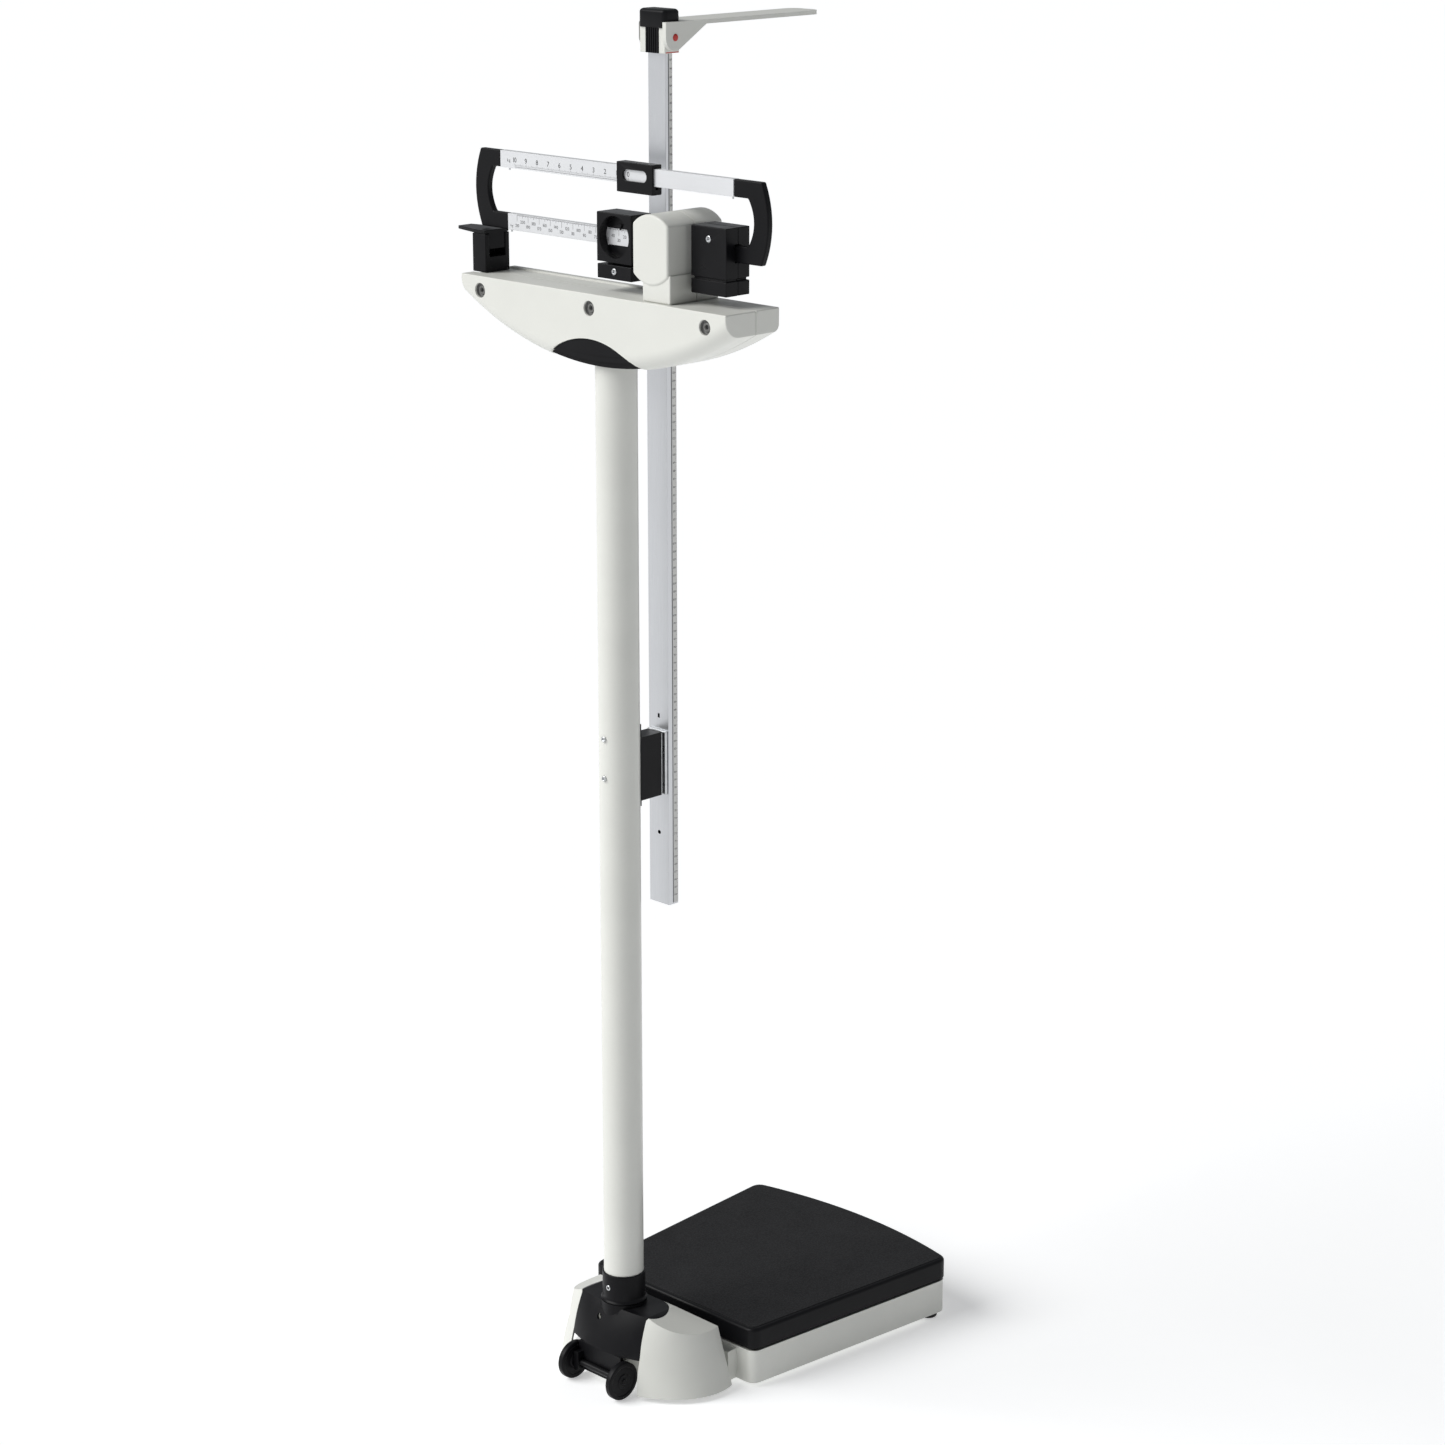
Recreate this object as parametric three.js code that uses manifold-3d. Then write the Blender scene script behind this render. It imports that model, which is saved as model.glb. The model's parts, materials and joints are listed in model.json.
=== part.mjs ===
// Physician beam scale: a low platform, a round column, a beam head with two sliding poises,
// and a telescopic height rod with a folding head arm.
// Millimetres, +Z up, +X along the beam, +Y from the column towards the platform.
// Pieces are modelled about the column axis, which meets the floor at x = y = 0.
import * as THREE from "three";
import { mergeVertices } from "three/addons/utils/BufferGeometryUtils.js";
import Module from "manifold-3d";

// ---- driving dimensions ----
const GAP = 0.3; // between pieces that touch
const RUNNING_GAP = 0.1; // round a shaft that turns

// column and its collar
const COLUMN_R = 25.4;
const COLUMN_WALL = 2.5;
const COLUMN_FOOT_Z = 44;
const COLUMN_TOP_Z = 1372;
const COLLAR_R = 27.8;
const COLLAR_TOP_Z = 150;

// flared base over the column foot
const BASE_TOP_Z = 107;
const BASE_RIM_Z = 7;
const BASE_WALL = 3;
const BASE_CENTRE_Y = 45;
const BASE_TOP_HALF_WIDTH = 105;
const BASE_RIM_HALF_WIDTH = 131;
const BASE_TOP_DEPTH = 68;
const BASE_RIM_DEPTH = 97;
const ROOF_HALF_WIDTH = 60; // the level part of the top; its sides and back slope down from here
const ROOF_SIDE_SLOPE = 0.43;
const ROOF_BACK_Y = 32;
const EAVE_BACK_Y = 60.5;
const EAVE_BACK_Z = 86;
const RIM_BACK_Y = 68.5;
const COVER_TOP_HALF_WIDTH = 59;
const COVER_RIM_HALF_WIDTH = 63;
const LOBE_R = 30;
const LOBE_HALF_WIDTH = 67;
const LOBE_CENTRE_Y = 2;
const BOSS_TOP_Z = 111;
const BOSS_R = 29.5;
const BOSS_DEPTH = 18;
const SOCKET_TOP_Z = 78;

// transport wheels
const WHEEL_R = 25;
const WHEEL_WIDTH = 9;
const WHEEL_X = 44;
const WHEEL_Y = -47.5;
const AXLE_R = 4;
const ROLLER_PANEL_Y = -44;
const WHEEL_HEADROOM = 3;
const COVER_SKIRT_Z = 2 * WHEEL_R + WHEEL_HEADROOM; // the cover's lower edge clears the wheels

// platform
const PLATFORM_NEAR_Y = 86;
const PLATFORM_FAR_Y = 450;
const PLATFORM_NEAR_HALF = 147;
const PLATFORM_FAR_HALF = 178;
const PLATFORM_FAR_ARC_R = 680;
const PLATFORM_CORNER = 14;
const FRAME_FLOOR_Z = 7;
const FRAME_TOP_Z = 52;
const FRAME_WALL = 4;
const FRAME_FLOOR = 3;
const TRAY_BOTTOM_Z = 55;
const TRAY_TOP_Z = 83;
const TRAY_WALL = 4;
const MAT_INSET = 6;
const MAT_DEPTH = 2.5;
const NECK_HALF_WIDTH = 116;
const NECK_INNER_HALF_WIDTH = 108;
const NECK_STEP_Y = 72;
const NECK_TOP_Z = 48;

// feet
const FOOT_R = 12;
const FOOT_HEIGHT = 6.7;
const REAR_FOOT = { x: 104, y: 60 };
const FAR_FOOT = { x: 160, y: 408 };

// levers under the platform and the draft rod in the column
const LEVER_THICK = 8;
const LEVER_BAR = 14;
const LEVER_Z = 18;
const MAIN_FULCRUM = { x: 118, y: 400 };
const SHORT_FULCRUM = { x: 100, y: 118 };
const SHORT_NOSE_Y = 300;
const MAIN_NOSE_Y = -4;
const DRAFT_ROD_R = 3;
const DRAFT_ROD_SIDE_ROOM = 3.9; // between the draft rod and the way through the column's floor
const COLUMN_WAY_R = COLUMN_R - COLUMN_WALL - 4;
const DRAFT_ROD_X = COLUMN_WAY_R - DRAFT_ROD_R - DRAFT_ROD_SIDE_ROOM;

// beam head housing
const HOUSING_HALF_LENGTH = 226;
const HOUSING_FRONT_Y = -43.8;
const HOUSING_REAR_Y = 43.8;
const HOUSING_TOP_Z = 1407;
const HOUSING_BELLY_Z = 1317;
const HOUSING_END_Z = 1379.49; // the underside where it meets each end
const HOUSING_RISE = HOUSING_END_Z - HOUSING_BELLY_Z;
const HOUSING_BELLY_R = (HOUSING_HALF_LENGTH ** 2 + HOUSING_RISE ** 2) / (2 * HOUSING_RISE);
const HOUSING_FRONT_FILLET = 22;
const HOUSING_REAR_FILLET = 9;
const HOUSING_WALL = 3;
const BEAM_Y = 5.5; // the plane of the beam, where both housing shells meet
const TOP_CHANNEL_DEPTH = 2.2;
const TOP_CHANNEL_FRONT_Y = -25;
const TOP_CHANNEL_REAR_Y = 34;
const ARCH_HALF_WIDTH = 73;
const ARCH_TOP_Z = 1353.5;
const ARCH_R = 119;
const SCREW_SPACING = 192;
const SCREW_Z = 1389.5;
const SCREW_RECESS_R = 8.8;
const SCREW_RECESS_DEPTH = 6;
const SCREW_HEAD_R = 5.5;
const HOUSING_SCREW_LENGTH = 9;
const CARRIER_TOP_Z = 1399;
const CARRIER_THICK = 8;
const CARRIER_HALF_LENGTH = 205;
const CARRIER_HALF_WIDTH = 22;
const CARRIER_BORE_R = 18;

// bearing tower
const TOWER_X = 99;
const TOWER_Z = 1467.5;
const TOWER_R = 41;
const TOWER_HALF_WIDTH = 29;
const TOWER_HALF_DEPTH = 45;
const TOWER_WALL = 3.5;
const PEDESTAL_LEFT_X = 84.5;
const PEDESTAL_RIGHT_X = 130;
const PEDESTAL_FRONT_Y = -37.5;
const PEDESTAL_REAR_Y = 42;
const KNIFE_SIZE = 9;
const KNIFE_HALF_LENGTH = 30;
const LOAD_PIN_R = 3;
const LOAD_KNIFE_OFFSET = 17;
const BEARING_HALF_WIDTH = 10;

// beams and their end bows
const BEAM_THICK = 8.8;
const UPPER_BEAM_BOTTOM_Z = 1533.4;
const UPPER_BEAM_TOP_Z = 1553.6;
const LOWER_BEAM_BOTTOM_Z = 1459;
const LOWER_BEAM_TOP_Z = 1478.8;
const UPPER_BEAM_LEFT_X = -201;
const UPPER_BEAM_RIGHT_X = 193.6;
const LOWER_BEAM_LEFT_X = -189.3;
const LOWER_BEAM_RIGHT_X = 186;
const BOW_THICK = 8;
const BOW_OUTER_X = 248;
const BOW_CORNER_X = 237.5;
const BOW_INNER_X = 220.5;
const BOW_INNER_CORNER_X = 216;
const STOP_PIN_R = 1.2;
const STOP_PIN_LENGTH = 3;

// poises and counterweight
const SLIDE_CLEARANCE = 0.5;
const LARGE_POISE = { x: 9.6, width: 57.3, depth: 33.5, bottom: 1420.6, top: 1498.5 };
const LARGE_WINDOW_R = 25;
const LARGE_WINDOW_Z = 1470.5;
const CLAMP_GROOVE_Z = 1437.6;
const CLAMP_GROOVE = 3;
const SMALL_POISE = { x: 35.4, width: 59.6, depth: 15.3, bottom: 1523, top: 1558.2 };
const SMALL_WINDOW = { width: 40, height: 13.4, z: 1543.3 };
const COUNTERWEIGHT = { x: 168.6, width: 56.4, depth: 38.6, bottom: 1420.8, top: 1499 };
const RING_SCREW_R = 4;
const RING_SCREW_HEAD = 1.2;
const COUNTERWEIGHT_SCREW_Z = 1484.7;
const POISE_SCREW_Z = 1430;

// stop post and beam lock
const POST_LEFT_X = -238;
const POST_RIGHT_X = -214;
const POST_HALF_DEPTH = 19.5;
const POST_TOP_Z = 1451.8;
const POST_SLOT_HALF = 13;
const POST_SLOT_FLOOR_Z = 1423.8;
const LOCK_PLATE_TOP_Z = 1456.4;
const LOCK_PLATE_THICK = 4.2;
const LOCK_TIP_X = -274;
const LOCK_TIP_HALF = 10.5;
const LOCK_PANEL_BOTTOM_Z = 1433;

// height rod
const ROD_Y = 75.2;
const OUTER_ROD = { halfWidth: 17.1, halfDepth: 8, bottom: 628, top: 1395, wall: 1.9 };
const INNER_ROD = { halfWidth: 14.4, halfDepth: 5.8, bottom: 958, top: 1721, wall: 1.8 };
const ROD_STOP_HOLE_R = 2.6;
const BRACKET = { halfWidth: 12, bottom: 773, top: 854, rear: 60 };
const ROD_PLATE = { halfWidth: 15.7, front: 62.6, rear: 66.9 };
const BRACKET_SCREW_Z = [810, 860];
const BRACKET_SCREW_R = 3.6;

// head slide and folding arm
const SLIDE_HALF_WIDTH = 21;
const SLIDE_FRONT_Y = 62.5;
const SLIDE_REAR_Y = 86.2;
const SLIDE_BOTTOM_Z = 1678;
const SLIDE_TOP_Z = 1720.6;
const INSERT_HALF_WIDTH = 10.4;
const INSERT_PROUD = 1.2;
const ROD_CAP = { halfWidth: 22.5, front: 60.5, rear: 87, thick: 7.5 };
const ARM_PIVOT_Y = 73.8;
const ARM_PIVOT_Z = 1696.5;
const KNUCKLE_R = 15.5;
const KNUCKLE_THICK = 6;
const ARM_PLATE_BOTTOM_Z = 1709.5;
const ARM_PLATE_THICK = 5;
const ARM_TIP_Y = 322;
const ARM_START_Y = 88;
const ARM_PIN_R = 4.2;
const LATCH_OUTER_X = -27.6;
const LATCH_TOP_Z = 1713.5;
const LATCH_BOTTOM_Z = 1685;
const LATCH_HALF_DEPTH = 8;

const FAR_AWAY = 3000; // half-size of a cutting block that stands for a half-space

const wasm = await Module();
wasm.setup();

// ---- solids ----

// A three.js geometry as a manifold-3d solid.
function solid(geometry) {
  const bare = geometry.index ? geometry.toNonIndexed() : geometry.clone();
  bare.deleteAttribute("normal");
  bare.deleteAttribute("uv");
  const merged = mergeVertices(bare, 1e-4);
  return new wasm.Manifold(
    new wasm.Mesh({
      numProp: 3,
      vertProperties: merged.getAttribute("position").array,
      triVerts: new Uint32Array(merged.index.array),
    }),
  );
}

function box(x0, x1, y0, y1, z0, z1) {
  const geometry = new THREE.BoxGeometry(x1 - x0, y1 - y0, z1 - z0);
  return solid(geometry.translate((x0 + x1) / 2, (y0 + y1) / 2, (z0 + z1) / 2));
}

function cylinderZ(radius, z0, z1, x = 0, y = 0, sides = 40) {
  const geometry = new THREE.CylinderGeometry(radius, radius, z1 - z0, sides);
  return solid(geometry.rotateX(Math.PI / 2).translate(x, y, (z0 + z1) / 2));
}

function cylinderY(radius, y0, y1, x, z, sides = 32) {
  const geometry = new THREE.CylinderGeometry(radius, radius, y1 - y0, sides);
  return solid(geometry.translate(x, (y0 + y1) / 2, z));
}

function cylinderX(radius, x0, x1, y, z, sides = 32) {
  const geometry = new THREE.CylinderGeometry(radius, radius, x1 - x0, sides);
  return solid(geometry.rotateZ(Math.PI / 2).translate((x0 + x1) / 2, y, z));
}

// A closed outline through plain [u, v] corners.
function polygon(corners) {
  return new THREE.Shape(corners.map(([u, v]) => new THREE.Vector2(u, v)));
}

// An outline drawn in x and y, carried up from z0 to z1.
function prismZ(shape, z0, z1, curveSegments = 12) {
  const geometry = new THREE.ExtrudeGeometry(shape, {
    depth: z1 - z0,
    bevelEnabled: false,
    curveSegments,
  });
  return solid(geometry.translate(0, 0, z0));
}

// An outline drawn in x and z, carried back from y0 to y1.
function prismY(shape, y0, y1, curveSegments = 12) {
  const geometry = new THREE.ExtrudeGeometry(shape, {
    depth: y1 - y0,
    bevelEnabled: false,
    curveSegments,
  });
  return solid(geometry.rotateX(Math.PI / 2).translate(0, y1, 0));
}

// An outline drawn in y and z, carried along from x0 to x1.
function prismX(shape, x0, x1, curveSegments = 12) {
  const geometry = new THREE.ExtrudeGeometry(shape, {
    depth: x1 - x0,
    bevelEnabled: false,
    curveSegments,
  });
  const turn = new THREE.Matrix4().makeBasis(
    new THREE.Vector3(0, 1, 0),
    new THREE.Vector3(0, 0, 1),
    new THREE.Vector3(1, 0, 0),
  );
  return solid(geometry.applyMatrix4(turn).translate(x0, 0, 0));
}

// The half-space on one side of a level plane, as a large block.
const above = (z) => box(-FAR_AWAY, FAR_AWAY, -FAR_AWAY, FAR_AWAY, z, FAR_AWAY);
const inFrontOf = (y) => box(-FAR_AWAY, FAR_AWAY, -FAR_AWAY, y, -FAR_AWAY, FAR_AWAY);
const behind = (y) => box(-FAR_AWAY, FAR_AWAY, y, FAR_AWAY, -FAR_AWAY, FAR_AWAY);

// A rectangle with rounded corners, centred on (u, v).
function roundedRectangle(u, v, width, height, radius) {
  const shape = new THREE.Shape();
  const left = u - width / 2;
  const right = u + width / 2;
  const low = v - height / 2;
  const high = v + height / 2;
  shape.moveTo(left + radius, low);
  shape.lineTo(right - radius, low);
  shape.absarc(right - radius, low + radius, radius, -Math.PI / 2, 0);
  shape.lineTo(right, high - radius);
  shape.absarc(right - radius, high - radius, radius, 0, Math.PI / 2);
  shape.lineTo(left + radius, high);
  shape.absarc(left + radius, high - radius, radius, Math.PI / 2, Math.PI);
  shape.lineTo(left, low + radius);
  shape.absarc(left + radius, low + radius, radius, Math.PI, 1.5 * Math.PI);
  return shape;
}

// ---- finishes ----
const finish = (color, roughness, metalness = 0) =>
  new THREE.MeshStandardMaterial({ color, roughness, metalness });

const ivoryPlastic = () => finish(0xe2e3dc, 0.45);
const ivoryPaint = () => finish(0xdedfd8, 0.35);
const blackPlastic = () => finish(0x1c1c20, 0.5);
const matRubber = () => finish(0x2b2b2d, 0.85);
const feetRubber = () => finish(0x151515, 0.9);
const satinAluminium = () => finish(0xc4c6c8, 0.35, 1);
const whiteScale = () => finish(0xe9eaec, 0.4, 0.3);
const steel = () => finish(0xa7a9ac, 0.3, 1);
const castIron = () => finish(0x4c4d50, 0.6, 0.9);
const greyPlastic = () => finish(0x8b8c88, 0.5);
const redPlastic = () => finish(0xd8413a, 0.45);

const scale = new THREE.Group();

// Adds a named piece to an assembly; place moves a piece modelled about its own centre.
function addPiece(assembly, name, body, material, place) {
  const made = body.getMesh();
  const geometry = new THREE.BufferGeometry();
  geometry.setAttribute("position", new THREE.BufferAttribute(made.vertProperties, 3));
  geometry.setIndex(new THREE.BufferAttribute(made.triVerts, 1));
  geometry.computeVertexNormals();
  const piece = new THREE.Mesh(geometry, material);
  piece.name = name;
  if (place) piece.position.set(...place);
  assembly.add(piece);
}

// ---- platform ----

// The platform's plan: sides that spread away from the column and a bowed far edge.
function platformPlan(inset) {
  const spread =
    (PLATFORM_FAR_HALF - PLATFORM_NEAR_HALF) / (PLATFORM_FAR_Y - PLATFORM_NEAR_Y);
  const near = PLATFORM_NEAR_Y + inset;
  const nearHalf = PLATFORM_NEAR_HALF - inset + spread * inset;
  const corner = Math.max(PLATFORM_CORNER - inset, 2);
  const arcR = PLATFORM_FAR_ARC_R - inset;
  const arcCentreY = PLATFORM_FAR_Y - PLATFORM_FAR_ARC_R;
  const farHalf = PLATFORM_FAR_HALF - inset - spread * corner;
  const farAt = (x) => arcCentreY + Math.sqrt(arcR * arcR - x * x);
  const shape = new THREE.Shape();
  shape.moveTo(0, near);
  shape.lineTo(nearHalf - corner, near);
  shape.quadraticCurveTo(nearHalf, near, nearHalf + spread * corner, near + corner);
  shape.lineTo(farHalf - spread * corner, farAt(farHalf) - corner);
  shape.quadraticCurveTo(farHalf, farAt(farHalf), farHalf - corner, farAt(farHalf - corner));
  const arcSteps = 14;
  for (let step = 1; step < arcSteps; step++) {
    const x = (farHalf - corner) * (1 - (2 * step) / arcSteps);
    shape.lineTo(x, farAt(x));
  }
  shape.lineTo(-(farHalf - corner), farAt(farHalf - corner));
  shape.quadraticCurveTo(-farHalf, farAt(farHalf), -farHalf + spread * corner, farAt(farHalf) - corner);
  shape.lineTo(-nearHalf - spread * corner, near + corner);
  shape.quadraticCurveTo(-nearHalf, near, -nearHalf + corner, near);
  return shape;
}

const platform = new THREE.Group();
scale.add(platform);

const STAND_R = 9;
const FOOT_BLOCK_HALF = 34;
const SOCKET_R = COLUMN_R + GAP + 6;
const LEVER_TOP_Z = LEVER_Z + LEVER_THICK;
const leverStands = [
  [MAIN_FULCRUM.x, MAIN_FULCRUM.y],
  [-MAIN_FULCRUM.x, MAIN_FULCRUM.y],
  [SHORT_FULCRUM.x, SHORT_FULCRUM.y],
  [-SHORT_FULCRUM.x, SHORT_FULCRUM.y],
];

// The cast base: a shallow trough under the platform, a neck, and the socket for the column.
function baseFrame() {
  const floorTop = FRAME_FLOOR_Z + FRAME_FLOOR;
  let frame = prismZ(platformPlan(1), FRAME_FLOOR_Z, FRAME_TOP_Z);
  const neck = box(
    -NECK_HALF_WIDTH, NECK_HALF_WIDTH, NECK_STEP_Y, PLATFORM_NEAR_Y + FRAME_WALL,
    FRAME_FLOOR_Z, NECK_TOP_Z,
  ).add(
    box(
      -NECK_INNER_HALF_WIDTH, NECK_INNER_HALF_WIDTH, BASE_CENTRE_Y, NECK_STEP_Y + 1,
      FRAME_FLOOR_Z, NECK_TOP_Z,
    ),
  );
  const footBlock = box(
    -FOOT_BLOCK_HALF, FOOT_BLOCK_HALF, -COLLAR_R - 4, BASE_CENTRE_Y + 1,
    FRAME_FLOOR_Z, COLUMN_FOOT_Z,
  );
  const socket = cylinderZ(SOCKET_R, COLUMN_FOOT_Z - 1, SOCKET_TOP_Z);
  frame = frame.add(neck).add(footBlock).add(socket);
  frame = frame.subtract(prismZ(platformPlan(1 + FRAME_WALL), floorTop, FRAME_TOP_Z + 1));
  const leverTunnel = box(-24, 24, -20, PLATFORM_NEAR_Y + 10, floorTop, COLUMN_FOOT_Z - 6);
  const neckHollow = box(
    -NECK_INNER_HALF_WIDTH + FRAME_WALL, NECK_INNER_HALF_WIDTH - FRAME_WALL,
    BASE_CENTRE_Y + FRAME_WALL, PLATFORM_NEAR_Y + FRAME_WALL + 2, floorTop, NECK_TOP_Z - FRAME_WALL,
  );
  frame = frame.subtract(leverTunnel).subtract(neckHollow);
  frame = frame.subtract(cylinderZ(COLUMN_R + GAP, COLUMN_FOOT_Z - GAP, BASE_TOP_Z));
  frame = frame.subtract(cylinderZ(COLUMN_WAY_R, floorTop + 8, COLUMN_FOOT_Z + 1));
  for (const [x, y] of leverStands)
    frame = frame.add(cylinderZ(STAND_R, floorTop - 1, LEVER_Z - GAP, x, y, 16));
  return frame;
}
addPiece(platform, "base_frame", baseFrame(), ivoryPaint());

// A foot: a rubber pad with a threaded stem boss that ends under the frame.
function foot() {
  return cylinderZ(FOOT_R, 0, FOOT_HEIGHT * 0.6, 0, 0, 24).add(
    cylinderZ(FOOT_R * 0.7, FOOT_HEIGHT * 0.6 - 0.5, FOOT_HEIGHT, 0, 0, 24),
  );
}
for (const [side, sign] of [["left", -1], ["right", 1]]) {
  const rear = [sign * REAR_FOOT.x, REAR_FOOT.y, 0];
  const far = [sign * FAR_FOOT.x, FAR_FOOT.y, 0];
  addPiece(platform, "foot_rear_" + side, foot(), feetRubber(), rear);
  addPiece(platform, "foot_front_" + side, foot(), feetRubber(), far);
}

// The tray: a lid that covers the trough, open below, with a shallow recess for the mat.
function tray() {
  const lidThick = 5;
  const cavity = prismZ(
    platformPlan(TRAY_WALL), TRAY_BOTTOM_Z - 1, TRAY_TOP_Z - MAT_DEPTH - lidThick,
  );
  const matRecess = prismZ(platformPlan(MAT_INSET - GAP), TRAY_TOP_Z - MAT_DEPTH, TRAY_TOP_Z + 1);
  return prismZ(platformPlan(0), TRAY_BOTTOM_Z, TRAY_TOP_Z).subtract(cavity).subtract(matRecess);
}
addPiece(platform, "platform_tray", tray(), blackPlastic());
const mat = prismZ(
  platformPlan(MAT_INSET), TRAY_TOP_Z - MAT_DEPTH + GAP, TRAY_TOP_Z + 0.8,
);
addPiece(platform, "platform_mat", mat, matRubber());

// A flat bar from one plan point to another.
function leverBar(x0, y0, x1, y1, z0, z1, width) {
  const length = Math.hypot(x1 - x0, y1 - y0);
  const geometry = new THREE.BoxGeometry(length + width, width, z1 - z0);
  geometry.rotateZ(Math.atan2(y1 - y0, x1 - x0));
  return solid(geometry.translate((x0 + x1) / 2, (y0 + y1) / 2, (z0 + z1) / 2));
}

// The main lever: two arms from the far stands meet in a nose below the column.
function mainLever() {
  const join = { y: SHORT_NOSE_Y - 60 };
  const bar = (x0, y0, x1, y1) =>
    leverBar(x0, y0, x1, y1, LEVER_Z, LEVER_TOP_Z, LEVER_BAR);
  return bar(MAIN_FULCRUM.x, MAIN_FULCRUM.y, 0, join.y)
    .add(bar(-MAIN_FULCRUM.x, MAIN_FULCRUM.y, 0, join.y))
    .add(bar(0, join.y, DRAFT_ROD_X, MAIN_NOSE_Y));
}
addPiece(platform, "main_lever", mainLever(), castIron());

// The short lever: two arms from the near stands, joined over the main lever, which it loads.
function shortLever() {
  const z0 = LEVER_TOP_Z + GAP;
  const z1 = z0 + LEVER_THICK;
  const bar = (x0, y0, x1, y1) => leverBar(x0, y0, x1, y1, z0, z1, LEVER_BAR);
  const post = (x) =>
    cylinderZ(STAND_R - 3, LEVER_Z, z0 + 1, x, SHORT_FULCRUM.y, 16);
  return bar(SHORT_FULCRUM.x, SHORT_FULCRUM.y, 0, SHORT_NOSE_Y)
    .add(bar(-SHORT_FULCRUM.x, SHORT_FULCRUM.y, 0, SHORT_NOSE_Y))
    .add(post(SHORT_FULCRUM.x))
    .add(post(-SHORT_FULCRUM.x));
}
addPiece(platform, "short_lever", shortLever(), castIron());

// The load carrier: a cross under the tray whose four legs stand over the levers' load pivots.
function platformCarrier() {
  const top = TRAY_TOP_Z - MAT_DEPTH - 5 - GAP;
  const plateBottom = top - 6;
  const legR = 7;
  // both pairs of legs sink by the same amount when the levers turn
  const mainArm = 20;
  const shortArm =
    (mainArm * (SHORT_NOSE_Y - SHORT_FULCRUM.y)) / (MAIN_FULCRUM.y - SHORT_NOSE_Y);
  const farLeg = { x: MAIN_FULCRUM.x - 17, y: MAIN_FULCRUM.y - mainArm };
  const nearLeg = { x: SHORT_FULCRUM.x - 20, y: SHORT_FULCRUM.y + shortArm };
  let carrier = leverBar(farLeg.x, farLeg.y, -nearLeg.x, nearLeg.y, plateBottom, top, 26).add(
    leverBar(-farLeg.x, farLeg.y, nearLeg.x, nearLeg.y, plateBottom, top, 26),
  );
  for (const sign of [-1, 1]) {
    const farFoot = LEVER_TOP_Z + 1.2;
    const nearFoot = LEVER_TOP_Z + GAP + LEVER_THICK + 1.2;
    carrier = carrier
      .add(cylinderZ(legR, farFoot, plateBottom + 1, sign * farLeg.x, farLeg.y, 16))
      .add(cylinderZ(legR, nearFoot, plateBottom + 1, sign * nearLeg.x, nearLeg.y, 16));
  }
  return carrier;
}
addPiece(platform, "platform_carrier", platformCarrier(), steel());

// ---- flared base, wheels and column ----
const base = new THREE.Group();
scale.add(base);

// A bell: at each height its plan is an oval, deeper and wider towards the floor.
function bell(inset, z0, z1) {
  const levels = 10;
  const geometry = new THREE.CylinderGeometry(1, 1, 1, 64, levels).rotateX(Math.PI / 2);
  const place = geometry.getAttribute("position");
  for (let i = 0; i < place.count; i++) {
    const z = z0 + (place.getZ(i) + 0.5) * (z1 - z0);
    const fall = THREE.MathUtils.clamp((BASE_TOP_Z - z) / (BASE_TOP_Z - BASE_RIM_Z), 0, 1);
    const swell = 1 - (1 - fall) ** 2;
    const halfWidth = THREE.MathUtils.lerp(BASE_TOP_HALF_WIDTH, BASE_RIM_HALF_WIDTH, fall) - inset;
    const depth = THREE.MathUtils.lerp(BASE_TOP_DEPTH, BASE_RIM_DEPTH, swell) - inset;
    const squareness = THREE.MathUtils.lerp(2 / 2.6, 1, Math.min(1, fall / 0.5));
    const rim = Math.hypot(place.getX(i), place.getY(i));
    const cos = rim > 0.5 ? place.getX(i) / rim : 0;
    const sin = rim > 0.5 ? place.getY(i) / rim : 0;
    const bend = (c) => Math.sign(c) * Math.abs(c) ** squareness;
    place.setXYZ(i, halfWidth * bend(cos), BASE_CENTRE_Y + depth * bend(sin), z);
  }
  return solid(geometry);
}

// Under the roof: level in the middle, sloping down to both sides and to the back.
function underRoof(inset) {
  const top = BASE_TOP_Z - inset;
  const reach = 200;
  const sideEave = top - ROOF_SIDE_SLOPE * (reach - ROOF_HALF_WIDTH);
  const sides = prismY(
    polygon([
      [-reach, -20],
      [reach, -20],
      [reach, sideEave],
      [ROOF_HALF_WIDTH, top],
      [-ROOF_HALF_WIDTH, top],
      [-reach, sideEave],
    ]),
    -reach, reach,
  );
  const back = prismX(
    polygon([
      [-reach, -20],
      [RIM_BACK_Y - inset, -20],
      [RIM_BACK_Y - inset, BASE_RIM_Z],
      [EAVE_BACK_Y - inset, EAVE_BACK_Z - inset],
      [ROOF_BACK_Y - inset, top],
      [-reach, top],
    ]),
    -reach, reach,
  );
  return sides.intersect(back);
}

function baseShell() {
  const outside = bell(0, BASE_RIM_Z, BASE_TOP_Z).intersect(underRoof(0));
  const inside = bell(BASE_WALL, BASE_RIM_Z - 5, BASE_TOP_Z - BASE_WALL).intersect(
    underRoof(BASE_WALL),
  );
  const neckPassage = box(
    -NECK_INNER_HALF_WIDTH - 1, NECK_INNER_HALF_WIDTH + 1, BASE_CENTRE_Y, RIM_BACK_Y + 10,
    0, NECK_TOP_Z + 1,
  );
  return outside.subtract(inside).subtract(neckPassage);
}

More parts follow.
